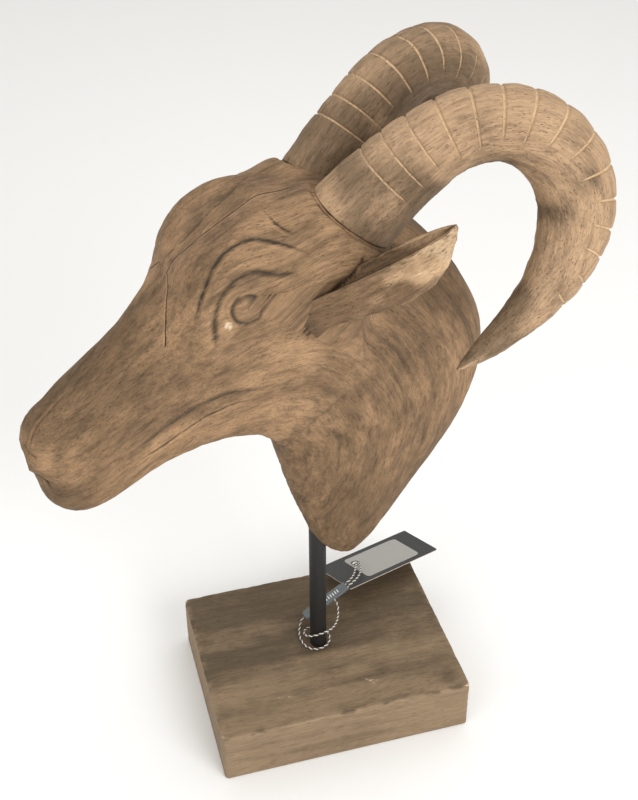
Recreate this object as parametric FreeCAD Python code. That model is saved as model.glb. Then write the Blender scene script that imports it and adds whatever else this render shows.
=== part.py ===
"""Carved wooden ram's head on a black rod and a rectangular wooden base.

The row frame has +Z up and its origin at the centre of the base's underside.
The animal faces -X. The head's own frame has x towards the muzzle, y to the
animal's left and z up, with its origin on the rod's axis, level with the foot
of the neck. All sizes are in millimetres.
"""
import FreeCAD, Part
import math
import os

Vector = FreeCAD.Vector

# ---- base and rod
BASE_LENGTH = 180.0
BASE_DEPTH = 140.0
BASE_HEIGHT = 42.0
BASE_CORNER_ROUND = 3.0
BASE_EDGE_ROUND = 1.5
ROD_DIAMETER = 12.0
ROD_OFFSET_X = -3.0
ROD_SEAT_DEPTH = 30.0
ROD_SHOWN = 85.0
ROD_IN_NECK = 75.0
ROD_END_CHAMFER = 1.0
ROD_TO_BASE_GAP = 0.02
ROD_TO_NECK_GAP = 0.08
NECK_ON_ROD_GAP = 0.3

# ---- head
HEAD_TURN_AT_REST = 6.5
HEAD_LENGTH = 308.0
HEAD_HEIGHT = 294.0
HEAD_WIDTH = 92.0

# The carving's own proportions are drawn for this length, height and width.
DRAWN_LENGTH = 308.0
DRAWN_HEIGHT = 294.0
DRAWN_WIDTH = 92.0
POINTS_AROUND_HEAD = 32
ROWS_PER_HEAD_STATION = 2

# Stations along the carving, from the nose over the poll to the foot of the
# neck. Each one is a slanted slice: the x and z of its upper or outer end, the
# x and z of its lower or throat end, its half width, how much wider it is at
# the upper end, and how round the two halves are (1 is an ellipse, less is
# squarer).
HEAD_STATIONS = [
    (186, 157, 183, 131, 11, -0.10, 0.95, 0.95),
    (183, 167, 176, 117, 18, -0.15, 0.80, 0.80),
    (174, 176, 161, 104, 23, -0.20, 0.78, 0.78),
    (152, 193, 140, 107, 26, -0.20, 0.76, 0.76),
    (122, 217, 114, 122, 28, -0.15, 0.76, 0.76),
    (98, 242, 94, 129, 33, -0.05, 0.72, 0.76),
    (85, 261, 74, 133, 41, 0.14, 0.52, 0.74),
    (64, 280, 58, 133, 45, 0.14, 0.50, 0.72),
    (36, 289, 46, 131, 46, 0.10, 0.54, 0.70),
    (0, 291, 39, 125, 45, 0.0, 0.66, 0.72),
    (-48, 267, 35, 119, 42, 0.0, 0.80, 0.80),
    (-89, 222, 32, 112, 38, 0.0, 0.88, 0.88),
    (-114, 171, 29, 102, 35, 0.0, 0.92, 0.92),
    (-109, 125, 25, 85, 32, 0.0, 0.92, 0.92),
    (-88, 87, 19, 65, 28, 0.0, 0.92, 0.92),
    (-64, 53, 11, 41, 23, 0.0, 0.92, 0.92),
    (-46, 26, 4, 22, 18, 0.0, 0.92, 0.92),
    (-35, 10, -5, 9, 12, 0.0, 0.95, 0.95),
    (-28, 2, -14, 2, 6, 0.0, 1.0, 1.0),
]

# ---- horns
HORN_SEAT_X = -14.0
HORN_SEAT_Z = 273.0
HORN_PARTING = 0.3
HORN_ROOT_RADIUS = 30.0
HORN_FLATTENING = 0.74
HORN_ROUND_FROM = 0.35
HORN_SPREAD = 1.0
HORN_SECTIONS = 36
POINTS_AROUND_HORN = 16
HORN_ROOT_SHARE = 0.3
ROOT_SECTIONS = 12
# The horn's centreline leaves the seat up and back, curls down and comes
# forward again; these are the control points of a cubic curve from the seat.
HORN_CONTROL = [
    (0.0, 0.0, 0.0),
    (-36.5, 11.2, 44.4),
    (-70.4, 23.1, 58.8),
    (-98.3, 36.2, 48.4),
    (-113.4, 49.5, 23.4),
    (-106.8, 62.5, -7.8),
    (-77.4, 75.5, -35.7),
    (-24.0, 87.5, -54.0),
]
# Radius along the horn, as shares of the root radius.
HORN_TAPER = [1.0, 0.727, 0.747, 0.82, 0.623, 0.16]
HORN_TIP_FROM = 0.965
HORN_TIP_END = 0.25
STUB_DEPTH = 34.0
STUB_FLARE = 1.12
HORN_SEAT_GAP = 0.35
DOWEL_DIAMETER = 10.0
DOWEL_LENGTH = 36.0
DOWEL_GAP = 0.05

# ---- ears
EAR_ROOT = (28.0, 34.0, 236.0)
EAR_TIP = (-47.0, 82.0, 291.0)
EAR_WIDTH = 20.0
EAR_DEPTH = 31.0
EAR_HOLLOW = 0.25
EAR_SOCKET_GAP = 0.6
EAR_PEG_DIAMETER = 9.0
EAR_PEG_LENGTH = 14.0
EAR_PEG_GAP = 0.05
POINTS_AROUND_EAR = 20
ROWS_PER_EAR_STATION = 2
# Along the ear: share of its length, of its width and of its depth.
EAR_STATIONS = [
    (0.0, 0.55, 0.84),
    (0.14, 0.62, 0.80),
    (0.30, 0.84, 0.86),
    (0.45, 0.95, 0.93),
    (0.60, 1.0, 1.0),
    (0.74, 0.95, 1.0),
    (0.86, 0.70, 0.84),
    (0.94, 0.42, 0.50),
    (1.0, 0.08, 0.08),
]

# ---- swing tag, seal and cords, placed from the point where the rod leaves the
# base's top
CARD_LENGTH = 88.0
CARD_WIDTH = 40.0
CARD_THICKNESS = 0.5
CARD_CENTRE = (66.2, 61.1, 9.6)
CARD_YAW = 21.4
CARD_PITCH = -6.0
CARD_ROLL = -11.2
CARD_HOLE_DIAMETER = 5.0
CARD_HOLE_ALONG = -17.7
CARD_HOLE_ACROSS = 6.7
STICKER_LENGTH = 52.0
STICKER_WIDTH = 31.0
STICKER_THICKNESS = 0.15
STICKER_ROUND = 3.0
STICKER_ALONG = 3.0
STICKER_HOLE_MARGIN = 1.0
SEAL_START = (-4.3, 22.5, 4.6)
SEAL_END = (30.3, 30.2, 20.0)
SEAL_ACROSS = (0.173, -0.980, 0.099)
SEAL_WIDTH = 9.0
SEAL_THICKNESS = 2.2
SEAL_ROUND = 0.7
KNOT_DIAMETER = 4.6
KNOT_HEIGHT = 2.6
KNOT_ROUND = 0.9
KNOT_CLEARANCE = 0.6
CORD_DIAMETER = 1.5
STRAND_SPACING = 1.8
CORD_BEND_SHARE = 0.45

# Once and a half round the rod, from the seal's lower end to its near side.
ROD_CORD_ROUTE = [
    (-4.3, 22.5, 4.6),
    (-7.2, 20.9, 3.4),
    (-9.8, 16.0, 2.4),
    (-11.9, 9.8, 1.8),
    (-12.4, 3.2, 1.5),
    (-10.6, -3.6, 1.4),
    (-6.2, -8.2, 1.4),
    (0.2, -9.0, 1.6),
    (6.0, -6.8, 2.3),
    (9.0, -1.2, 3.4),
    (7.4, 5.6, 4.8),
    (1.6, 9.2, 6.2),
    (-5.2, 8.2, 7.8),
    (-10.0, 3.4, 9.8),
    (-10.9, -3.0, 12.4),
    (-7.2, -7.9, 15.0),
    (-0.9, -9.0, 16.7),
    (5.4, -7.9, 16.9),
    (10.6, -4.1, 15.5),
    (14.7, 1.7, 14.0),
    (17.6, 7.8, 13.2),
    (19.4, 13.6, 13.4),
    (20.1, 18.6, 15.5),
    (19.35, 22.9, 15.2),
]


# ---------------------------------------------------------------- helpers
def save(shape, node):
    """Write one node's shape to parts/NODE.step."""
    shape.exportStep("parts/" + node + ".step")
    print(node, len(shape.Solids), "solid(s)", round(shape.Volume / 1000.0, 2), "cm3", shape.isValid())


def unit(vector):
    """A copy of the vector with length 1."""
    return Vector(vector).normalize()


def head_placement():
    """Places the head's own frame on the rod, turned to face -X."""
    foot = BASE_HEIGHT + ROD_SHOWN
    turn = FreeCAD.Rotation(Vector(0, 0, 1), 180.0 + HEAD_TURN_AT_REST)
    return FreeCAD.Placement(Vector(ROD_OFFSET_X, 0, foot), turn)


def on_head(x, y, z):
    """A point of the drawn carving at the head's real size."""
    return Vector(
        x * HEAD_LENGTH / DRAWN_LENGTH,
        y * HEAD_WIDTH / DRAWN_WIDTH,
        z * HEAD_HEIGHT / DRAWN_HEIGHT,
    )


def signed_power(value, power):
    """The value's size raised to the power, with its sign kept."""
    return math.copysign(abs(value) ** power, value)


def clamped_knots(count):
    """Knots and multiplicities of a clamped cubic with that many controls."""
    spans = count - 3
    knots = [i / spans for i in range(spans + 1)]
    return knots, [4] + [1] * (spans - 1) + [4]


def skinned(rings):
    """A solid over rings of control points, closed by flat ends."""
    along_knots, along_mults = clamped_knots(len(rings))
    around = len(rings[0])
    surface = Part.BSplineSurface()
    surface.buildFromPolesMultsKnots(
        rings, along_mults, [1] * (around + 1), along_knots, list(range(around + 1)), False, True, 3, 3
    )
    side = surface.toShape()
    ends = [Part.Face(Part.Wire([surface.uIso(u).toShape()])) for u in (0.0, 1.0)]
    shell = Part.makeShell([side] + ends)
    shell.sewShape()
    solid = Part.makeSolid(shell)
    if solid.Volume < 0:
        solid.reverse()
    return solid


def ring_growth(count):
    """How far out the controls of a round ring lie for the ring to be to size."""
    return 3.0 / (2.0 + math.cos(2.0 * math.pi / count))


def between(rows, steps):
    """Rows of numbers with a smooth curve's values added between them."""
    filled = []
    last = len(rows) - 1
    for i in range(last):
        around = [rows[max(0, min(last, k))] for k in (i - 1, i, i + 1, i + 2)]
        for step in range(steps):
            t = step / steps
            filled.append(tuple(catmull(values, t) for values in zip(*around)))
    return filled + [tuple(rows[-1])]


def catmull(values, t):
    """The smooth curve between the middle two of four values."""
    a, b, c, d = values
    bend = (2 * a - 5 * b + 4 * c - d) * t ** 2 + (3 * b - a - 3 * c + d) * t ** 3
    return b + 0.5 * ((c - a) * t + bend)


def cylinder_between(start, end, radius):
    """A round bar from one point to another."""
    return Part.makeCylinder(radius, (end - start).Length, start, end - start)


def on_both_sides(shape):
    """The shape and its mirror image across the head's middle plane."""
    return shape, shape.mirror(Vector(0, 0, 0), Vector(0, 1, 0))


# ---------------------------------------------------------------- base, rod
def rod_axis(z):
    """The point of the rod's axis at height z."""
    return Vector(ROD_OFFSET_X, 0, z)


def make_base():
    """The wooden block, its edges softened, with a blind hole for the rod."""
    corner = Vector(-BASE_LENGTH / 2, -BASE_DEPTH / 2, 0)
    block = Part.makeBox(BASE_LENGTH, BASE_DEPTH, BASE_HEIGHT, corner)
    upright = [e for e in block.Edges if abs(e.tangentAt(0).z) > 0.9]
    block = block.makeFillet(BASE_CORNER_ROUND, upright)
    around = [e for e in block.Edges if abs(e.BoundBox.ZMax - e.BoundBox.ZMin) < 0.01]
    block = block.makeFillet(BASE_EDGE_ROUND, around)
    radius = ROD_DIAMETER / 2 + ROD_TO_BASE_GAP
    seat = rod_axis(BASE_HEIGHT - ROD_SEAT_DEPTH)
    return block.cut(cylinder_between(seat, rod_axis(BASE_HEIGHT + 1), radius))


def rod_top():
    """Height of the rod's upper end."""
    return BASE_HEIGHT + ROD_SHOWN + ROD_IN_NECK


def make_rod():
    """The steel bar, from its seat in the base up into the neck."""
    foot = rod_axis(BASE_HEIGHT - ROD_SEAT_DEPTH)
    bar = cylinder_between(foot, rod_axis(rod_top()), ROD_DIAMETER / 2)
    rims = [e for e in bar.Edges if isinstance(e.Curve, Part.Circle)]
    return bar.makeChamfer(ROD_END_CHAMFER, rims)


def neck_bore():
    """The blind hole that the rod's upper end fills, in the head's frame."""
    depth = ROD_IN_NECK + NECK_ON_ROD_GAP
    radius = ROD_DIAMETER / 2 + ROD_TO_NECK_GAP
    return cylinder_between(Vector(0, 0, -5), Vector(0, 0, depth), radius)


# ---------------------------------------------------------------- horns
def horn_seat():
    """The middle of the left horn's root, which stops just short of the other's."""
    seat = on_head(HORN_SEAT_X, 0, HORN_SEAT_Z)
    seat.y = HORN_ROOT_RADIUS * HORN_FLATTENING + HORN_PARTING
    return seat


def horn_curve():
    """The centreline of the left horn, from its seat to its tip."""
    seat = horn_seat()
    poles = [seat + Vector(x, y * HORN_SPREAD, z) for x, y, z in HORN_CONTROL]
    knots, mults = clamped_knots(len(poles))
    curve = Part.BSplineCurve()
    curve.buildFromPolesMultsKnots(poles, mults, knots, False, 3)
    return curve


def horn_radius(t):
    """Radius of the horn at the share t of its centreline."""
    poles = [Vector(share, 0, 0) for share in HORN_TAPER]
    knots, mults = clamped_knots(len(poles))
    curve = Part.BSplineCurve()
    curve.buildFromPolesMultsKnots(poles, mults, knots, False, 3)
    share = curve.value(t).x
    past = max(0.0, (t - HORN_TIP_FROM) / (1.0 - HORN_TIP_FROM))
    rounding = math.sqrt(max(HORN_TIP_END ** 2, 1.0 - past ** 2))
    return HORN_ROOT_RADIUS * share * rounding


def horn_flatness(t):
    """Sideways radius as a share of the radius: flatter at the root."""
    return HORN_FLATTENING + (1.0 - HORN_FLATTENING) * min(1.0, t / HORN_ROUND_FROM)


def horn_ring(centre, tangent, radius, sideways):
    """An oval ring square to the tangent, its short axis sideways."""
    fore = unit(tangent.cross(Vector(0, 1, 0)))
    side = unit(tangent.cross(fore))
    grown = ring_growth(POINTS_AROUND_HORN)
    points = []
    for i in range(POINTS_AROUND_HORN):
        angle = 2.0 * math.pi * i / POINTS_AROUND_HORN
        reach = fore * (radius * math.cos(angle)) + side * (sideways * math.sin(angle))
        points.append(centre + reach * grown)
    return points


def horn_solid(last, count, extra=0.0):
    """The left horn up to a share of its length, grown by extra."""
    curve = horn_curve()
    rings = []
    for i in range(count):
        t = last * i / (count - 1)
        radius = horn_radius(t)
        sideways = radius * horn_flatness(t)
        tangent = unit(curve.tangent(t)[0])
        rings.append(horn_ring(curve.value(t), tangent, radius + extra, sideways + extra))
    return skinned(rings)


def horn_direction():
    """The way that the left horn leaves its seat."""
    return unit(horn_curve().tangent(0.0)[0])


def dowel_bore(gap):
    """The bar that joins a horn to the head, grown by a gap."""
    seat = horn_seat()
    half = horn_direction() * (DOWEL_LENGTH / 2 + gap)
    return cylinder_between(seat - half, seat + half, DOWEL_DIAMETER / 2 + gap)


def make_left_horn():
    """The left horn, drilled for its dowel."""
    return horn_solid(1.0, HORN_SECTIONS).cut(dowel_bore(DOWEL_GAP))


def horn_stub():
    """The short swelling of the head that carries the left horn."""
    seat = horn_seat()
    away = horn_direction()
    radius = HORN_ROOT_RADIUS
    sideways = radius * HORN_FLATTENING
    rings = []
    for share in (0.0, 0.3, 0.7, 1.0):
        grow = 1.0 + (STUB_FLARE - 1.0) * share
        centre = seat - away * (STUB_DEPTH * share + HORN_SEAT_GAP)
        rings.append(horn_ring(centre, away, radius * grow, sideways * grow))
    return skinned(rings)


# ---------------------------------------------------------------- ears
def ear_axes():
    """Unit vectors along the left ear, outwards from its rims, and upwards."""
    along = unit(on_head(*EAR_TIP) - on_head(*EAR_ROOT))
    outwards = unit(Vector(0, 0, 1).cross(along))
    if outwards.y < 0:
        outwards = outwards * -1.0
    upwards = unit(along.cross(outwards))
    if upwards.z < 0:
        upwards = upwards * -1.0
    return along, outwards, upwards


def ear_ring(station, grow):
    """One ring of the ear: a hollow top between two rims, a deep round back."""
    share, wide, deep = station
    along, outwards, upwards = ear_axes()
    root = on_head(*EAR_ROOT)
    length = (on_head(*EAR_TIP) - root).Length
    centre = root + along * (share * length)
    half = EAR_WIDTH * wide / 2 + grow
    depth = EAR_DEPTH * deep + grow
    points = []
    for i in range(POINTS_AROUND_EAR):
        angle = 2.0 * math.pi * i / POINTS_AROUND_EAR
        across = math.cos(angle)
        if math.sin(angle) >= 0:
            height = grow - 2.0 * (half - grow) * EAR_HOLLOW * (1.0 - across ** 2)
        else:
            height = -depth * abs(math.sin(angle)) ** 0.9
        points.append(centre + outwards * (half * across) + upwards * height)
    return points


def ear_peg(gap):
    """The round tenon that holds the left ear in the head."""
    along, outwards, upwards = ear_axes()
    start = on_head(*EAR_ROOT) + along * 4.0 - upwards * (EAR_DEPTH * 0.42)
    end = start - along * (EAR_PEG_LENGTH + 4.0 + gap)
    return cylinder_between(start, end, EAR_PEG_DIAMETER / 2 + gap)


def ear_solid(grow):
    """The whole left ear without its tenon, grown by a gap."""
    return skinned([ear_ring(station, grow) for station in between(EAR_STATIONS, ROWS_PER_EAR_STATION)])


def make_left_ear():
    """The left ear and its tenon in one piece of wood."""
    return ear_solid(0.0).fuse(ear_peg(0.0)).removeSplitter()


def ear_socket():
    """The space cut in the head for the left ear's root and tenon."""
    along = ear_axes()[0]
    roomy = ear_solid(EAR_SOCKET_GAP)
    roomy.translate(along * -EAR_SOCKET_GAP)
    return roomy, ear_peg(EAR_PEG_GAP)


# ---------------------------------------------------------------- head
def head_ring(station):
    """One slanted slice of the head as a ring of control points."""
    top_x, top_z, low_x, low_z, half, flare, top_round, low_round = station
    points = []
    for i in range(POINTS_AROUND_HEAD):
        angle = 2.0 * math.pi * i / POINTS_AROUND_HEAD
        lift = math.cos(angle)
        power = top_round if lift > 0 else low_round
        up = signed_power(lift, power)
        across = signed_power(math.sin(angle), power) * (1.0 + flare * up)
        rise = (1.0 + up) / 2.0
        x = low_x + (top_x - low_x) * rise
        z = low_z + (top_z - low_z) * rise
        points.append(on_head(x, half * across, z))
    return points


def make_head():
    """The carving with its horn seats, ear sockets and the rod's bore."""
    head = skinned([head_ring(station) for station in between(HEAD_STATIONS, ROWS_PER_HEAD_STATION)])
    for stub in on_both_sides(horn_stub()):
        head = head.fuse(stub)
    for root in on_both_sides(horn_solid(HORN_ROOT_SHARE, ROOT_SECTIONS, HORN_SEAT_GAP)):
        head = head.cut(root)
    for bore in on_both_sides(dowel_bore(DOWEL_GAP)):
        head = head.cut(bore)
    for piece in ear_socket():
        for side in on_both_sides(piece):
            head = head.cut(side)
    head = head.cut(neck_bore())
    return max(head.Solids, key=lambda solid: solid.Volume)


# ---------------------------------------------------------------- swing tag
def card_axes():
    """Unit vectors along the card, across it and out of its upper face."""
    yaw = math.radians(CARD_YAW)
    pitch = math.radians(CARD_PITCH)
    roll = math.radians(CARD_ROLL)
    level = math.cos(pitch)
    along = Vector(math.cos(yaw) * level, math.sin(yaw) * level, math.sin(pitch))
    flat = Vector(-math.sin(yaw), math.cos(yaw), 0)
    above = along.cross(flat)
    across = flat * math.cos(roll) + above * math.sin(roll)
    return along, across, along.cross(across)


def at_rod_foot(point):
    """A point given from where the rod leaves the base's top."""
    return rod_axis(BASE_HEIGHT) + Vector(*point)


def card_point(along, across, above):
    """A point given from the card's centre, on its lower face."""
    axes = card_axes()
    return at_rod_foot(CARD_CENTRE) + axes[0] * along + axes[1] * across + axes[2] * above


def card_plate(length, width, thickness, centre, above, rounding):
    """A thin plate lying along the card, its corners rounded."""
    along_axis, across_axis, out_axis = card_axes()
    plate = Part.makeBox(length, width, thickness, Vector(-length / 2, -width / 2, 0))
    if rounding > 0:
        upright = [e for e in plate.Edges if abs(e.tangentAt(0).z) > 0.9]
        plate = plate.makeFillet(rounding, upright)
    turn = FreeCAD.Rotation(along_axis, across_axis, out_axis, "XYZ")
    plate.Placement = FreeCAD.Placement(card_point(centre, 0, above), turn)
    return plate


def card_hole(radius):
    """The round hole through the card, as a bar along its normal."""
    low = card_point(CARD_HOLE_ALONG, CARD_HOLE_ACROSS, -5)
    high = card_point(CARD_HOLE_ALONG, CARD_HOLE_ACROSS, 5)
    return cylinder_between(low, high, radius)


def make_card():
    """The swing card with its hole."""
    card = card_plate(CARD_LENGTH, CARD_WIDTH, CARD_THICKNESS, 0, 0, 0)
    return card.cut(card_hole(CARD_HOLE_DIAMETER / 2))


def make_sticker():
    """The paper label on the card, cut away round the hole."""
    label = card_plate(
        STICKER_LENGTH, STICKER_WIDTH, STICKER_THICKNESS, STICKER_ALONG, CARD_THICKNESS, STICKER_ROUND
    )
    return label.cut(card_hole(CARD_HOLE_DIAMETER / 2 + STICKER_HOLE_MARGIN))


def seal_axes():
    """Unit vectors along the seal, across it and out of its upper face."""
    along = unit(Vector(*SEAL_END) - Vector(*SEAL_START))
    across = unit(Vector(*SEAL_ACROSS))
    across = unit(across - along * across.dot(along))
    return along, across, across.cross(along)


def make_seal():
    """The flat plastic seal that holds the cords, with softened edges."""
    along, across, out = seal_axes()
    length = (Vector(*SEAL_END) - Vector(*SEAL_START)).Length
    corner = Vector(0, -SEAL_WIDTH / 2, -SEAL_THICKNESS / 2)
    seal = Part.makeBox(length, SEAL_WIDTH, SEAL_THICKNESS, corner)
    seal = seal.makeFillet(SEAL_ROUND, seal.Edges)
    seal.Placement = FreeCAD.Placement(at_rod_foot(SEAL_START), FreeCAD.Rotation(along, across, out * -1.0, "XYZ"))
    return seal


def make_knot():
    """The stopper knot of the two strands, just under the card's hole."""
    out = card_axes()[2]
    top = card_point(CARD_HOLE_ALONG, CARD_HOLE_ACROSS, -KNOT_CLEARANCE)
    knot = Part.makeCylinder(KNOT_DIAMETER / 2, KNOT_HEIGHT, top, out * -1.0)
    rims = [e for e in knot.Edges if isinstance(e.Curve, Part.Circle)]
    return knot.makeFillet(KNOT_ROUND, rims)


def strand_route(side):
    """One strand from the seal's upper end, over the card, down its hole.

    side is -1 for the strand nearer the card's middle and 1 for the other.
    """
    across = seal_axes()[1]
    along = seal_axes()[0]
    start = at_rod_foot(SEAL_END) + across * (side * STRAND_SPACING)
    hole = (CARD_HOLE_ALONG, CARD_HOLE_ACROSS)
    shift = side * STRAND_SPACING / 2
    return [
        start,
        start + along * 4.5,
        card_point(-32.5 + shift, -13.0 - 2.0 * side, 4.4),
        card_point(-25.2 + 1.6 * shift, -6.4 - 1.6 * side, 4.2),
        card_point(hole[0] + shift * 1.1, hole[1] - 2.4, 3.4),
        card_point(hole[0] + shift, hole[1], -KNOT_CLEARANCE),
    ]


def cord_path(points):
    """Straight runs joined by tangent arcs, as one wire, and its least radius."""
    edges = []
    least = 1e9
    start = points[0]
    for before, corner, after in zip(points, points[1:], points[2:]):
        arriving = unit(corner - before)
        leaving = unit(after - corner)
        half_turn = arriving.getAngle(leaving) / 2.0
        shorter = min((corner - before).Length, (after - corner).Length)
        radius = CORD_BEND_SHARE * shorter / math.tan(half_turn)
        least = min(least, radius)
        setback = CORD_BEND_SHARE * shorter
        arc_start = corner - arriving * setback
        arc_end = corner + leaving * setback
        inward = unit(leaving - arriving)
        middle = corner + inward * (radius / math.cos(half_turn) - radius)
        edges.append(Part.LineSegment(start, arc_start).toShape())
        edges.append(Part.Arc(arc_start, middle, arc_end).toShape())
        start = arc_end
    edges.append(Part.LineSegment(start, points[-1]).toShape())
    return Part.Wire(edges), least


def cord_tube(node, points):
    """A round cord along the points; prints its radius, length and volume."""
    path, least = cord_path(points)
    heading = unit(points[1] - points[0])
    circle = Part.makeCircle(CORD_DIAMETER / 2, points[0], heading)
    tube = path.makePipeShell([Part.Wire([circle])], True, False)
    expected = math.pi * (CORD_DIAMETER / 2) ** 2 * path.Length
    runs = [round((b - a).Length, 1) for a, b in zip(points, points[1:])]
    print(node, "least radius", round(least, 2), "length", round(path.Length, 1))
    print("  volume", round(tube.Volume, 1), "section x length", round(expected, 1), "runs", runs)
    return tube


# ---------------------------------------------------------------- assembly
def main():
    """Build every piece and write one STEP file for each node."""
    os.makedirs("parts", exist_ok=True)
    save(make_base(), "base_block")
    save(make_rod(), "rod")

    placed = head_placement()
    pieces = [("head", make_head())]
    pieces += list(zip(("left_horn", "right_horn"), on_both_sides(make_left_horn())))
    pieces += list(zip(("left_ear", "right_ear"), on_both_sides(make_left_ear())))
    pieces.append(("horn_dowels", Part.makeCompound(list(on_both_sides(dowel_bore(0.0))))))
    for node, shape in pieces:
        turned = shape.copy()
        turned.Placement = placed.multiply(turned.Placement)
        save(turned, node)

    save(make_card(), "swing_card")
    save(make_sticker(), "price_sticker")
    save(make_seal(), "tag_seal")
    save(make_knot(), "tag_knot")
    save(cord_tube("rod_cord", [at_rod_foot(point) for point in ROD_CORD_ROUTE]), "rod_cord")
    save(cord_tube("card_cord_near", strand_route(1)), "card_cord_near")
    save(cord_tube("card_cord_far", strand_route(-1)), "card_cord_far")


main()
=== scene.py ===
"""Looks of a hand-carved ram's head on a rod and a wooden base, with a swing tag tied round the rod.

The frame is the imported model: its bodies, its joints and its plain solids. Each class below builds one
sub-assembly as surfaces worked out with numpy, dresses it, and lets it ride on its body. Shapes are worked
out in millimetres, in the frames that the classes describe, and put into the meshes in metres.
"""

import logging
import math
from dataclasses import dataclass
from enum import Enum
from typing import Any, Callable, Sequence

import bpy
import numpy as np
from mathutils import Matrix, Vector


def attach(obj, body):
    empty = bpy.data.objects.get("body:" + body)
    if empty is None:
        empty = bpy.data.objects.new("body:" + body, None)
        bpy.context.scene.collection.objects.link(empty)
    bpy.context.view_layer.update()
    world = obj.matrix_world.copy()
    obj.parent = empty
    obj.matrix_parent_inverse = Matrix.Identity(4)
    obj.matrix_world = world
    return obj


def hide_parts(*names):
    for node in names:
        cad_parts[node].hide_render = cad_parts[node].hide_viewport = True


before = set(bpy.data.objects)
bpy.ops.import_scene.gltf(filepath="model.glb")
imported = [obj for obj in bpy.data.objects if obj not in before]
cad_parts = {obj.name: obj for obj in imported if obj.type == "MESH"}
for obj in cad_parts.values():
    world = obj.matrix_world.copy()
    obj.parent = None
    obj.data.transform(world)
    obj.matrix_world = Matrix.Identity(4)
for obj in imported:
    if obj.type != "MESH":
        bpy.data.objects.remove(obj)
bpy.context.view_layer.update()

log = logging.getLogger("ram")
MM = 0.001
Colour = tuple[float, float, float]
Input = Any


# ---------------------------------------------------------------- numbers and curves
def clamped_weights(count: int, places: np.ndarray) -> np.ndarray:
    """Weights of a clamped uniform cubic curve, by the usual recursion from steps to cubics.

    Args:
        count: how many controls the curve has.
        places: shares of the curve, from 0 to 1.

    Returns:
        One row for each place and one column for each control.
    """
    knots = np.concatenate([[0.0] * 3, np.linspace(0.0, 1.0, count - 2), [1.0] * 3])
    places = np.clip(np.asarray(places, float), 0.0, 1.0 - 1e-9)
    weights = [((a <= places) & (places < b)).astype(float) for a, b in zip(knots, knots[1:])]
    for degree in (1, 2, 3):
        raised = []
        for i in range(len(weights) - 1):
            rise = knots[i + degree] - knots[i]
            fall = knots[i + degree + 1] - knots[i + 1]
            part = np.zeros_like(places)
            if rise > 0:
                part = part + (places - knots[i]) / rise * weights[i]
            if fall > 0:
                part = part + (knots[i + degree + 1] - places) / fall * weights[i + 1]
            raised.append(part)
        weights = raised
    return np.stack(weights, -1)


def ring_weights(count: int, places: np.ndarray) -> np.ndarray:
    """Weights of a closed uniform cubic curve whose controls stand evenly from place 0."""
    where = np.asarray(places, float) * count
    cell = np.floor(where).astype(int)
    f = where - cell
    parts = ((1 - f) ** 3, 3 * f**3 - 6 * f**2 + 4, -3 * f**3 + 3 * f**2 + 3 * f + 1, f**3)
    weights = np.zeros((len(where), count))
    for shift, part in zip((-1, 0, 1, 2), parts):
        np.add.at(weights, (np.arange(len(where)), (cell + shift) % count), part / 6.0)
    return weights


def through(points: Sequence[Sequence[float]], steps: int) -> np.ndarray:
    """A smooth curve through every point: between two points it is the cubic that their neighbours slope.

    Args:
        points: the points, one row each, of any width.
        steps: how many parts each stretch is divided into.

    Returns:
        The curve's points, the last one included.
    """
    p = np.asarray(points, float)
    p = np.vstack([p[:1], p, p[-1:]])
    t = np.linspace(0.0, 1.0, steps, endpoint=False)[:, None, None]
    a, b, c, d = (p[i : len(p) - 3 + i][None] for i in range(4))
    curve = b + 0.5 * ((c - a) * t + (2 * a - 5 * b + 4 * c - d) * t**2 + (3 * b - a - 3 * c + d) * t**3)
    return np.vstack([curve.transpose(1, 0, 2).reshape(-1, p.shape[1]), p[-1:]])


def ease(low: float, high: float, value: np.ndarray) -> np.ndarray:
    """0 below low, 1 above high, and an even S between them."""
    t = held((value - low) / (high - low))
    return t * t * (3.0 - 2.0 * t)


def hump(distance: np.ndarray, width: float) -> np.ndarray:
    """A bell of height 1 that has mostly died away at twice the width."""
    return np.exp(-((distance / width) ** 2))


def signed_power(value: np.ndarray, power: np.ndarray) -> np.ndarray:
    """The value's size raised to the power, with its sign kept."""
    return np.sign(value) * np.abs(value) ** power


def rows_of(vectors: np.ndarray) -> np.ndarray:
    """Vectors scaled to length 1."""
    return vectors / np.maximum(np.linalg.norm(vectors, axis=-1, keepdims=True), 1e-9)


def held(value: np.ndarray) -> np.ndarray:
    """The value kept from 0 to 1."""
    return np.clip(value, 0.0, 1.0)


def circle(count: int) -> np.ndarray:
    """Evenly spaced angles once round, the last one left out."""
    return np.linspace(0.0, 2.0 * np.pi, count, endpoint=False)


def run_of(points: np.ndarray) -> np.ndarray:
    """How far along the line each of its points lies."""
    return np.concatenate([[0.0], np.cumsum(np.linalg.norm(np.diff(points, axis=0), axis=1))])


def mirrored(points: np.ndarray, side: float) -> np.ndarray:
    """Points with y turned over for the right side, where side is -1."""
    return points * np.array([1.0, side, 1.0])


def spokes(first: np.ndarray, second: np.ndarray, count: int) -> np.ndarray:
    """Directions evenly round each row's pair of directions across a path."""
    angle = circle(count)[None, :, None]
    return np.cos(angle) * first[:, None] + np.sin(angle) * second[:, None]


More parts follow.
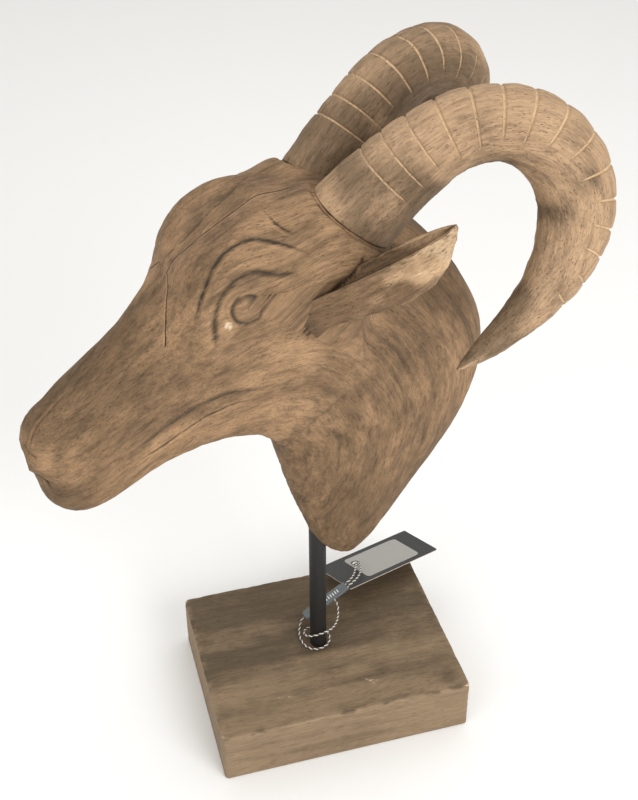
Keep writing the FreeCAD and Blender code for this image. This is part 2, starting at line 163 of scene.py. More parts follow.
def noise(points: np.ndarray, size: float | Sequence[float], seed: int) -> np.ndarray:
    """Smooth noise from -1 to 1: seeded values on a cubic lattice, blended by an even S along each axis.

    Args:
        points: any array whose last axis is x, y, z.
        size: the lattice's step, one for all axes or one for each.
        seed: names the lattice.

    Returns:
        One value for each point.
    """
    side = 32
    table = np.random.default_rng(seed).uniform(-1.0, 1.0, (side, side, side))
    where = points / np.asarray(size, float)
    cell = np.floor(where).astype(int)
    f = where - cell
    f = f * f * (3.0 - 2.0 * f)
    total = np.zeros(points.shape[:-1])
    for corner in np.ndindex(2, 2, 2):
        share = np.prod([f[..., k] if corner[k] else 1.0 - f[..., k] for k in range(3)], axis=0)
        i, j, k = (np.mod(cell[..., n] + corner[n], side) for n in range(3))
        total += share * table[i, j, k]
    return total


def even_spacing(density: Callable[[np.ndarray], np.ndarray], count: int, closed: bool) -> np.ndarray:
    """Shares from 0 to 1 that lie closer together where the density is higher.

    Args:
        density: gives the wanted density at each share.
        count: how many shares are wanted.
        closed: leaves out the last share, 1, which on a closed ring is the first one again.

    Returns:
        The shares, in order.
    """
    fine = np.linspace(0.0, 1.0, 2001)
    grown = np.concatenate([[0.0], np.cumsum(density((fine[1:] + fine[:-1]) / 2))])
    wanted = np.linspace(0.0, grown[-1], count + 1 if closed else count)
    found = np.interp(wanted, grown, fine)
    return found[:-1] if closed else found


# ---------------------------------------------------------------- meshes
def link(obj: bpy.types.Object) -> None:
    """Put an object into the scene."""
    bpy.context.scene.collection.objects.link(obj)


def grid_normals(points: np.ndarray) -> np.ndarray:
    """Outward unit normals of a grid whose second axis closes on itself.

    Each normal is the cross product of the steps along the two axes, turned to point away from the middle
    of its own ring.
    """
    along = np.gradient(points, axis=0)
    around = np.roll(points, -1, axis=1) - np.roll(points, 1, axis=1)
    normals = rows_of(np.cross(around, along))
    outward = points - points.mean(axis=1, keepdims=True)
    if (normals * outward).sum() < 0:
        normals = -normals
    return normals


def grid_faces(rows: int, columns: int, first: int = 0) -> np.ndarray:
    """Corner numbers of a grid's four-sided faces, with the columns closed on themselves."""
    here = first + np.arange(rows * columns).reshape(rows, columns)
    after = np.roll(here, -1, axis=1)
    return np.stack([here[:-1], after[:-1], after[1:], here[1:]], -1).reshape(-1, 4)


def fans(rows: int, columns: int, first: int = 0) -> np.ndarray:
    """Triangles that close a tube of rings, whose two middle points follow its other points."""
    start = np.arange(columns)
    after = np.roll(start, -1)
    last = (rows - 1) * columns
    return first + np.vstack([
        np.stack([np.full(columns, rows * columns), after, start], -1),
        np.stack([np.full(columns, rows * columns + 1), last + start, last + after], -1),
    ])


def looped_faces(rows: int, columns: int) -> np.ndarray:
    """Corner numbers of a grid's faces, closed on itself along both axes."""
    start = np.arange(columns)
    after, last = np.roll(start, -1), (rows - 1) * columns
    closing = np.stack([start + last, after + last, after, start], -1)
    return np.vstack([grid_faces(rows, columns), closing])


def mesh_object(
    name: str,
    points: np.ndarray,
    faces: Sequence[np.ndarray],
    values: dict[str, np.ndarray] | None = None,
) -> bpy.types.Object:
    """A smooth-shaded object from whole arrays, with its faces turned outwards.

    The sign of the volume under the faces tells which way they point, and they are reversed if it is
    negative.

    Args:
        name: the piece's name.
        points: corner points in millimetres, in the row frame.
        faces: arrays of corner numbers, one array for each kind of face.
        values: named values or vectors for each corner.

    Returns:
        The object, at the origin.
    """
    kinds = [np.asarray(f, int) for f in faces if len(f)]
    volume = 0.0
    for kind in kinds:
        for k in range(1, kind.shape[1] - 1):
            a, b, c = points[kind[:, 0]], points[kind[:, k]], points[kind[:, k + 1]]
            volume += np.einsum("ij,ij->", a, np.cross(b, c))
    if volume < 0:
        kinds = [kind[:, ::-1] for kind in kinds]
    corners = np.concatenate([kind.ravel() for kind in kinds])
    sides = np.concatenate([np.full(len(kind), kind.shape[1]) for kind in kinds])
    mesh = bpy.data.meshes.new(name)
    mesh.vertices.add(len(points))
    mesh.vertices.foreach_set("co", (points * MM).astype(np.float32).ravel())
    mesh.loops.add(len(corners))
    mesh.loops.foreach_set("vertex_index", corners.astype(np.int32))
    mesh.polygons.add(len(sides))
    mesh.polygons.foreach_set("loop_start", (np.cumsum(sides) - sides).astype(np.int32))
    mesh.update(calc_edges=True)
    mesh.validate()
    mesh.polygons.foreach_set("use_smooth", np.ones(len(mesh.polygons), bool))
    for key, value in (values or {}).items():
        vector = value.ndim == 2
        attribute = mesh.attributes.new(key, "FLOAT_VECTOR" if vector else "FLOAT", "POINT")
        attribute.data.foreach_set("vector" if vector else "value", value.astype(np.float32).ravel())
    obj = bpy.data.objects.new(name, mesh)
    link(obj)
    return obj


def closed_grid(
    name: str, points: np.ndarray, values: dict[str, np.ndarray] | None = None
) -> bpy.types.Object:
    """A closed skin from a grid of rings: each end is a fan of triangles round the middle of its ring.

    Args:
        name: the piece's name.
        points: rings of points, in millimetres, in the row frame.
        values: named values for each point of the grid, or vectors.

    Returns:
        The object.
    """
    rows, columns = points.shape[:2]
    middles = np.stack([points[0].mean(0), points[-1].mean(0)])
    flat = np.vstack([points.reshape(-1, 3), middles])
    padded_values = {}
    for key, value in (values or {}).items():
        ends = np.stack([value[0].mean(0), value[-1].mean(0)])
        padded_values[key] = np.concatenate([value.reshape((-1,) + value.shape[2:]), ends])
    return mesh_object(name, flat, [grid_faces(rows, columns), fans(rows, columns)], padded_values)


# ---------------------------------------------------------------- shader maths
@dataclass(frozen=True)
class Value:
    """A number in a material, which can stand in sums: each sum adds its own Math node."""

    shader: "Shader"
    socket: bpy.types.NodeSocket

    def __add__(self, other: Input) -> "Value":
        """This plus the other."""
        return self.shader.math("ADD", self, other)

    def __radd__(self, other: Input) -> "Value":
        """The other plus this."""
        return self.shader.math("ADD", other, self)

    def __sub__(self, other: Input) -> "Value":
        """This less the other."""
        return self.shader.math("SUBTRACT", self, other)

    def __rsub__(self, other: Input) -> "Value":
        """The other less this."""
        return self.shader.math("SUBTRACT", other, self)

    def __mul__(self, other: Input) -> "Value":
        """This times the other."""
        return self.shader.math("MULTIPLY", self, other)

    def __rmul__(self, other: Input) -> "Value":
        """The other times this."""
        return self.shader.math("MULTIPLY", other, self)

    def __truediv__(self, other: Input) -> "Value":
        """This over the other."""
        return self.shader.math("DIVIDE", self, other)

    def __pow__(self, other: Input) -> "Value":
        """This to the power of the other."""
        return self.shader.math("POWER", self, other)


class Shader:
    """A material under construction: its nodes are made by node(), and sums are written on Values."""

    def __init__(self, name: str) -> None:
        """Start an empty material of that name."""
        self.material = bpy.data.materials.new(name)
        self.material.use_nodes = True
        self.tree = self.material.node_tree
        self.tree.nodes.clear()

    def node(self, kind: str, settings: dict[str, Any], inputs: dict[str | int, Input]) -> bpy.types.Node:
        """Make any node.

        Args:
            kind: the node's type.
            settings: its own settings, set first; "stops" holds a ramp's places and colours.
            inputs: values or links for its sockets, by name or number.

        Returns:
            The node.
        """
        made = self.tree.nodes.new(kind)
        for key, value in settings.items():
            if key == "stops":
                ramp = made.color_ramp
                while len(ramp.elements) < len(value):
                    ramp.elements.new(0.5)
                for element, (place, colour) in zip(ramp.elements, value):
                    element.position = place
                    element.color = (*colour, 1.0)
            else:
                setattr(made, key, value)
        for key, value in inputs.items():
            if isinstance(value, Value):
                value = value.socket
            if isinstance(value, bpy.types.NodeSocket):
                self.tree.links.new(value, made.inputs[key])
            elif isinstance(value, tuple) and len(value) == 3 and made.inputs[key].type == "RGBA":
                made.inputs[key].default_value = (*value, 1.0)
            else:
                made.inputs[key].default_value = value
        return made

    def math(self, operation: str, first: Input, second: Input = 0.0, clamp: bool = False) -> Value:
        """One Math node."""
        made = self.node("ShaderNodeMath", {"operation": operation, "use_clamp": clamp}, {0: first, 1: second})
        return Value(self, made.outputs[0])

    def between(self, value: Input, low: float, high: float) -> Value:
        """0 where the value is at low, 1 where it is at high, held at both ends and eased."""
        made = self.node(
            "ShaderNodeMapRange",
            {"interpolation_type": "SMOOTHSTEP"},
            {"Value": value, "From Min": low, "From Max": high},
        )
        return Value(self, made.outputs[0])

    def mix(self, share: Input, first: Input, second: Input, blend: str = "MIX") -> bpy.types.NodeSocket:
        """A colour between two, by share, or the blend named."""
        settings = {"data_type": "RGBA", "blend_type": blend, "clamp_factor": True}
        return self.node("ShaderNodeMix", settings, {0: share, 6: first, 7: second}).outputs[2]

    def vector(self, operation: str, first: Input, second: Input) -> bpy.types.NodeSocket:
        """One Vector Math node."""
        made = self.node("ShaderNodeVectorMath", {"operation": operation}, {0: first})
        if operation == "SCALE":
            made.inputs["Scale"].default_value = second
        elif isinstance(second, bpy.types.NodeSocket):
            self.tree.links.new(second, made.inputs[1])
        else:
            made.inputs[1].default_value = second
        return made.outputs[0]

    def noise(self, where: Input, scale: float, detail: float = 3.0, rough: float = 0.55) -> Value:
        """Noise over the given places, about 0.5 on average."""
        inputs = {"Vector": where, "Scale": scale, "Detail": detail, "Roughness": rough}
        return Value(self, self.node("ShaderNodeTexNoise", {"noise_dimensions": "3D"}, inputs).outputs["Fac"])

    def attribute(self, name: str, output: str) -> bpy.types.NodeSocket:
        """A value or vector that the piece's mesh carries."""
        return self.node("ShaderNodeAttribute", {"attribute_name": name}, {}).outputs[output]

    def object_place(self) -> bpy.types.NodeSocket:
        """The place on the piece in its own frame, in metres."""
        return self.node("ShaderNodeTexCoord", {}, {}).outputs["Object"]

    def millimetres(self) -> bpy.types.NodeSocket:
        """The place on the piece in its own frame, in millimetres."""
        return self.vector("SCALE", self.object_place(), 1.0 / MM)

    def surface(self, inputs: dict[str | int, Input], height: Input | None, depth: float) -> bpy.types.Material:
        """Finish the material with a Principled shader and a bump of that depth in metres."""
        if height is not None:
            bump = self.node("ShaderNodeBump", {}, {"Height": height, "Distance": depth, "Strength": 1.0})
            inputs = {**inputs, "Normal": bump.outputs[0]}
        shader = self.node("ShaderNodeBsdfPrincipled", {}, inputs)
        self.node("ShaderNodeOutputMaterial", {}, {"Surface": shader.outputs[0]})
        return self.material


class GrainPlace(Enum):
    """Where a wood's grain is read from."""

    CARRIED = "carried"
    LENGTHWISE = "lengthwise"


def linear(red: int, green: int, blue: int) -> Colour:
    """Turn a colour as a screen shows it, 0 to 255, into the renderer's own scale."""
    shares = [c / 255.0 for c in (red, green, blue)]
    return tuple(c / 12.92 if c <= 0.04045 else ((c + 0.055) / 1.055) ** 2.4 for c in shares)


CHALK = linear(208, 186, 158)


@dataclass(frozen=True)
class CarvedWood:
    """Old carved softwood under a thin grey-brown wash, with tool marks.

    The grain runs along the third grain axis. Growth rings are rounds about that axis, bent by slow noise.
    Fibres, strokes and pores are noise drawn out along it. The mesh says where the wash is dark, partly as
    painted shade, where grime and painted shade lie in cuts and hollows, where the wood is worn pale, and how
    far each place is from the carved lines, along which the material paints a dark shadow line and a painted
    highlight on the lip beside it.
    """

    name: str
    pale: Colour
    middle: Colour
    dark: Colour
    place: GrainPlace = GrainPlace.CARRIED
    ring_step: float = 7.0
    ring_share: float = 0.35
    fibre_share: float = 0.45
    mottle_share: float = 0.42
    stretch: float = 0.26
    tool_depth: float = 0.5
    pale_cuts: bool = False
    carved: bool = False
    wash_and_shade: Colour = (0.42, 0.42, 0.41)
    cut: Colour = (0.030, 0.022, 0.015)

    def build(self) -> bpy.types.Material:
        """Make the material."""
        s = Shader(self.name)
        here = s.millimetres()
        if self.place is GrainPlace.CARRIED:
            grain = s.attribute("grain", "Vector")
        else:
            turned = {"Vector": here, "Rotation": (0.0, -math.pi / 2, 0.0)}
            grain = s.node("ShaderNodeMapping", {"vector_type": "POINT"}, turned).outputs[0]
        bend = s.node("ShaderNodeTexNoise", {}, {"Vector": grain, "Scale": 0.009, "Detail": 1.0})
        pushed = s.vector("SCALE", s.vector("SUBTRACT", bend.outputs["Color"], (0.5, 0.5, 0.5)), 36.0)
        bent = s.vector("ADD", grain, pushed)
        split = s.node("ShaderNodeSeparateXYZ", {}, {0: bent})
        across = [Value(s, split.outputs[k]) for k in (0, 1)]
        out = s.math("SQRT", across[0] * across[0] + (across[1] + 60.0) * (across[1] + 60.0))
        drawn = s.node("ShaderNodeMapping", {}, {"Vector": bent, "Scale": (1.0, 1.0, 0.06)}).outputs[0]
        short = s.node("ShaderNodeMapping", {}, {"Vector": grain, "Scale": (1.0, 1.0, self.stretch)}).outputs[0]
        fibres = s.noise(drawn, 1.1, 5.0, 0.72)
        streaks = s.noise(drawn, 0.21, 4.0, 0.65)
        strokes = s.noise(short, 0.75, 3.0, 0.7)
        pores = s.between(s.noise(short, 1.5, 2.0, 0.6), 0.60, 0.70)
        clouds = s.noise(here, 0.05, 5.0, 0.68)
        mottle = s.noise(short, 0.24, 5.0, 0.72)
        rings = s.between(s.math("SINE", (out + clouds * 9.0) * (2.0 * math.pi / self.ring_step)), 0.3, 1.0)
        soil, worn, tone = (Value(s, s.attribute(name, "Fac")) for name in ("soil", "worn", "tone"))
        base = s.mix(s.between(fibres, 0.30, 0.72), self.middle, self.pale)
        base = s.mix(rings * s.between(streaks, 0.40, 0.62) * self.ring_share, base, self.dark)
        base = s.mix(s.between(streaks, 0.48, 0.72) * self.fibre_share, base, self.dark)
        base = s.mix(s.between(mottle, 0.46, 0.66) * self.mottle_share, base, self.dark)
        base = s.mix(s.between(strokes, 0.56, 0.70) * 0.40, base, self.pale)
        base = s.mix(pores * 0.60, base, tuple(c * 0.5 for c in self.dark))
        # The wash colour is multiplied in where the tone is high, both as wash and as painted shade.
        washed_and_shaded = s.mix(1.0, base, self.wash_and_shade, "MULTIPLY")
        base = s.mix(s.between(tone + (clouds - 0.5) * 0.9 + (mottle - 0.5) * 0.4, 0.05, 1.0), base, washed_and_shaded)
        base = s.mix(worn * s.between(strokes, 0.30, 0.62) * 0.8, base, self.pale)
        base = s.mix(s.between(worn, 0.7, 1.0) * s.between(strokes, 0.35, 0.55), base, CHALK)
        height = fibres * 0.35 + strokes * 0.55 + mottle * 0.8 - pores * 0.4
        # Grime and painted shade darken towards the cut colour; with pale cuts the saw cuts are drawn pale
        # instead.
        if self.pale_cuts:
            base = s.mix(s.between(soil, 0.15, 0.8) * s.between(strokes, 0.25, 0.5) * 0.9, base, self.cut)
        else:
            base = s.mix(s.between(soil + (strokes - 0.5) * 0.4, 0.10, 0.95) * 0.9, base, self.cut)
        if self.carved:
            for name in ("carve_a", "carve_b"):
                parts = s.node("ShaderNodeSeparateXYZ", {}, {0: s.attribute(name, "Vector")})
                offset, strength, width = (Value(s, parts.outputs[k]) for k in range(3))
                offset = offset + (mottle - 0.5) * 1.6
                uneven = strength * s.between(strokes + mottle, 0.70, 1.05)
                # Painted shadow line along each carved line's middle, with a painted highlight on the lip beside
                # it.
                line = s.math("SUBTRACT", 1.0, s.math("ABSOLUTE", offset) / (width + 0.2), True) * uneven
                beside = s.math("ABSOLUTE", offset + width * 3.2) / (width * 2.0 + 0.2)
                lip = s.math("SUBTRACT", 1.0, beside, True)
                base = s.mix(lip * uneven * 0.55, base, self.pale)
                base = s.mix(s.between(line, 0.0, 0.5) * 0.85, base, self.cut)
                height = height - line * 2.2
        rough = 0.58 + fibres * 0.24
        settings = {"Base Color": base, "Roughness": rough, "Specular IOR Level": 0.25}
        return s.surface(settings, height, self.tool_depth * MM)


@dataclass(frozen=True)
class PaintedSteel:
    """Black paint on steel, satin, rubbed along its length."""

    name: str
    colour: Colour

    def build(self) -> bpy.types.Material:
        """Make the material: slow noise for the paint's depth and fine drawn-out noise for rubs."""
        s = Shader(self.name)
        here = s.millimetres()
        drawn = s.node("ShaderNodeMapping", {}, {"Vector": here, "Scale": (1.0, 1.0, 0.08)}).outputs[0]
        rubs = s.between(s.noise(drawn, 1.3, 4.0), 0.58, 0.75)
        mottle = s.noise(here, 0.35, 3.0)
        colour = s.mix(rubs * 0.35, self.colour, tuple(c * 2.6 + 0.01 for c in self.colour))
        inputs = {"Base Color": colour, "Roughness": 0.40 + mottle * 0.22, "Specular IOR Level": 0.45}
        return s.surface(inputs, mottle + rubs * 0.3, 0.05 * MM)


@dataclass(frozen=True)
class Sheetstock:
    """Card, paper or moulded plastic: one colour with fine mottle, scuffs and a faint tooth."""

    name: str
    colour: Colour
    scuffed: Colour
    grain: float = 1.4
    roughness: float = 0.55
    scuff_share: float = 0.35

    def build(self) -> bpy.types.Material:
        """Make the material: fine noise for the tooth and a slow, thresholded one for the scuffs."""
        s = Shader(self.name)
        here = s.millimetres()
        tooth = s.noise(here, self.grain, 4.0, 0.7)
        scuffs = s.between(s.noise(here, 0.22, 5.0, 0.7), 0.52, 0.72)
        colour = s.mix(scuffs * self.scuff_share, self.colour, self.scuffed)
        colour = s.mix(s.between(tooth, 0.4, 0.7) * 0.25, colour, tuple(c * 0.8 for c in self.colour))
        inputs = {"Base Color": colour, "Roughness": self.roughness + tooth * 0.15 - 0.07}
        return s.surface(inputs, tooth, 0.04 * MM)


@dataclass(frozen=True)
class SpunYarn:
    """One yarn of a twisted cord, with its fibres running round it."""

    name: str
    colour: Colour
    shade: Colour
    metallic: float = 0.0

    def build(self) -> bpy.types.Material:
        """Make the material: fine noise over the piece's own coordinates makes the fibres."""
        s = Shader(self.name)
        here = s.millimetres()
        fibres = s.noise(here, 5.5, 3.0, 0.7)
        colour = s.mix(s.between(fibres, 0.35, 0.65), self.shade, self.colour)
        inputs = {"Base Color": colour, "Roughness": 0.45 + fibres * 0.3, "Metallic": self.metallic}
        return s.surface(inputs, fibres, 0.08 * MM)


HEAD_WOOD = CarvedWood(
    "head_wood", linear(182, 146, 109), linear(148, 117, 86), linear(90, 73, 55), ring_share=0.12, carved=True
)
HORN_WOOD = CarvedWood(
    "horn_wood", linear(190, 158, 124), linear(158, 129, 99), linear(96, 79, 62),
    ring_share=0.05, tool_depth=0.7, pale_cuts=True, cut=linear(222, 192, 154),
)
EAR_WOOD = CarvedWood(
    "ear_wood", linear(204, 172, 134), linear(160, 127, 96), linear(88, 70, 53),
    ring_step=3.2, ring_share=0.25, wash_and_shade=(0.38, 0.35, 0.32),
)
BASE_WOOD = CarvedWood(
    "base_wood", linear(150, 128, 101), linear(130, 109, 85), linear(88, 73, 57), GrainPlace.LENGTHWISE,
    ring_step=17.0, ring_share=0.12, fibre_share=0.22, mottle_share=0.22, stretch=0.09, tool_depth=0.10,
)
DOWEL_WOOD = CarvedWood(
    "dowel_wood", linear(206, 176, 132), linear(186, 154, 110), linear(140, 110, 76), GrainPlace.LENGTHWISE
)
ROD_PAINT = PaintedSteel("rod_black", linear(22, 21, 20))
CARD_FACE = Sheetstock("card_grey", linear(48, 48, 47), linear(74, 74, 71), roughness=0.5)
CARD_EDGE = Sheetstock("card_edge", linear(206, 190, 176), linear(150, 138, 128))
LABEL_PAPER = Sheetstock("sticker_paper", linear(166, 163, 158), linear(149, 146, 141), roughness=0.6)
SEAL_PLASTIC = Sheetstock("seal_plastic", linear(96, 102, 104), linear(126, 130, 131), roughness=0.42)
SEAL_MARK = Sheetstock("seal_mark", linear(222, 222, 218), linear(190, 190, 186), roughness=0.5)
WHITE_YARN = SpunYarn("cord_white", linear(232, 228, 218), linear(196, 190, 178))
GREY_YARN = SpunYarn("cord_grey", linear(112, 108, 102), linear(66, 62, 58), metallic=0.4)


# ---------------------------------------------------------------- the object's own frames
@dataclass(frozen=True)
class Stand:
    """Sizes that the pieces share: the base, the rod and how the head sits on it."""

    base_height: float = 42.0
    rod_x: float = -3.0
    rod_shown: float = 85.0
    head_turn: float = 6.5

    def from_head(self, points: np.ndarray) -> np.ndarray:
        """Points of the head's own frame (x to the muzzle, y to the animal's left, z up) in the row frame."""
        turn = math.radians(180.0 + self.head_turn)
        x, y, z = points[..., 0], points[..., 1], points[..., 2]
        turned_x = self.rod_x + x * math.cos(turn) - y * math.sin(turn)
        turned_y = x * math.sin(turn) + y * math.cos(turn)
        return np.stack([turned_x, turned_y, z + self.base_height + self.rod_shown], -1)

    def from_rod_foot(self, points: np.ndarray) -> np.ndarray:
        """Points given from where the rod leaves the base's top, in the row frame."""
        return np.asarray(points, float) + np.array([self.rod_x, 0.0, self.base_height])


STAND = Stand()


@dataclass(frozen=True)
class HornSeat:
    """The oval on the head where the left horn stands, and the way that the horn leaves it."""

    middle: tuple[float, float, float] = (-14.0, 22.5, 273.0)
    away: tuple[float, float, float] = (-36.5, 11.2, 44.4)
    radius: float = 30.0
    flatness: float = 0.74

    def place(self, points: np.ndarray) -> tuple[np.ndarray, np.ndarray]:
        """How far points stand from the horn's axis, as shares of the oval, and how high above the seat."""
        away = np.array(self.away) / np.linalg.norm(self.away)
        fore = rows_of(np.cross(away, [0.0, 1.0, 0.0]))
        side = np.cross(away, fore)
        reach = points - np.array(self.middle)
        share = np.hypot(reach @ fore / self.radius, reach @ side / (self.radius * self.flatness))
        return share, reach @ away


@dataclass(frozen=True)
class Horn:
    """A curled horn: an oval section carried along a cubic curve, with saw cuts across its outer half."""

    side: int = 1
    seat: HornSeat = HornSeat()
    controls: tuple[tuple[float, float, float], ...] = (
        (0.0, 0.0, 0.0), (-36.5, 11.2, 44.4), (-70.4, 23.1, 58.8), (-98.3, 36.2, 48.4),
        (-113.4, 49.5, 23.4), (-106.8, 62.5, -7.8), (-77.4, 75.5, -35.7), (-24.0, 87.5, -54.0),
    )
    taper: tuple[float, ...] = (1.0, 0.727, 0.747, 0.82, 0.623, 0.16)
    round_from: float = 0.35
    tip_from: float = 0.965
    tip_end: float = 0.25
    first_cut: float = 31.0
    cut_step: float = 13.3
    cuts: int = 15
    cut_width: float = 0.55
    cut_depth: float = 1.7
    inside: float = 0.35
    rows: int = 620
    columns: int = 150

    def centreline(self, places: np.ndarray) -> np.ndarray:
        """The curve's points at the given shares, in the head's frame."""
        controls = np.array(self.controls) + np.array(self.seat.middle)
        return clamped_weights(len(self.controls), places) @ controls

    def build(self) -> bpy.types.Object:
        """Make the horn.

        Each ring lies square to the curve, with its short axis sideways. From it are taken: a margin, so that
        the horn stays inside the plain solid; the cuts, each a narrow V that fades out towards the inner half;
        broad shallow facets; and fine chatter along the fibres.
        """
        fine = np.linspace(0.0, 1.0, 3001)
        far = run_of(self.centreline(fine))
        places = np.interp(np.linspace(0.0, far[-1], self.rows), far, fine)
        length = np.interp(places, fine, far)
        path = self.centreline(places)
        tangents = rows_of(np.gradient(path, axis=0))
        fore = rows_of(np.cross(tangents, [0.0, 1.0, 0.0]))
        sideways = np.cross(tangents, fore)
        share = clamped_weights(len(self.taper), places) @ np.array(self.taper)
        past = np.clip((places - self.tip_from) / (1.0 - self.tip_from), 0.0, 1.0)
        radius = self.seat.radius * share * np.sqrt(np.maximum(self.tip_end**2, 1.0 - past**2))
        flatness = self.seat.flatness + (1.0 - self.seat.flatness) * np.minimum(1.0, places / self.round_from)
        angle = circle(self.columns)
        outer = -np.cos(angle)[None, :] * np.ones((self.rows, 1))
        wander = 0.5 * np.sin(angle + 0.7)[None, :]
        station = (length[:, None] + wander - self.first_cut) / self.cut_step
        nearest = np.clip(np.round(station), 0, self.cuts - 1)
        uneven = 0.06 * np.sin(nearest * 5.1)
        beside = (station - nearest - uneven) * self.cut_step
        reach = ease(-0.30, 0.15, outer + 0.12 * np.sin(nearest * 2.3))
        cut = hump(beside, self.cut_width) * reach
        swell = 0.5 * (1.0 - hump(beside, 4.5)) * ease(-0.2, 0.6, outer)
        unit = np.stack(np.broadcast_arrays(np.cos(angle), np.sin(angle), length[:, None] / 24.0), -1)
        facets = 0.80 * (1.0 + noise(unit * 2.4, 1.0, 11 + self.side))
        facets += 0.42 * (1.0 + noise(unit * 7.0, 1.0, 12))
        taken = self.inside + 0.5 - swell + facets * 0.5 + self.cut_depth * cut
        taken *= np.minimum(1.0, radius / 9.0)[:, None]
        across = np.cos(angle)[None, :] * (radius[:, None] - taken)
        beside_it = np.sin(angle)[None, :] * (radius[:, None] * flatness[:, None] - taken)
        points = path[:, None] + fore[:, None] * across[..., None] + sideways[:, None] * beside_it[..., None]
        grain = np.stack([across, beside_it, np.broadcast_to(length[:, None], across.shape) + 400.0], -1)
        worn = 0.6 * ease(0.2, 0.9, outer) * (0.5 + 0.5 * noise(unit, 0.9, 15))
        # Painted shade: the inner half of the curl is drawn darker; the root is darker too.
        tone = 0.20 + 0.34 * ease(0.1, 0.8, -outer) + 0.55 * ease(85.0, 12.0, length)[:, None]
        tone = tone + 0.40 * ease(215.0, 275.0, length)[:, None]
        tone = tone + 0.75 * noise(unit, (1.1, 1.1, 0.9), 17 + self.side)
        # Painted shade: the far, right horn is drawn darker all over.
        tone = tone + (0.50 if self.side < 0 else 0.0)
        values = {"grain": grain, "soil": held(cut), "worn": held(worn), "tone": held(tone)}
        name = "left_horn_carved" if self.side > 0 else "right_horn_carved"
        return closed_grid(name, STAND.from_head(mirrored(points, self.side)), values)


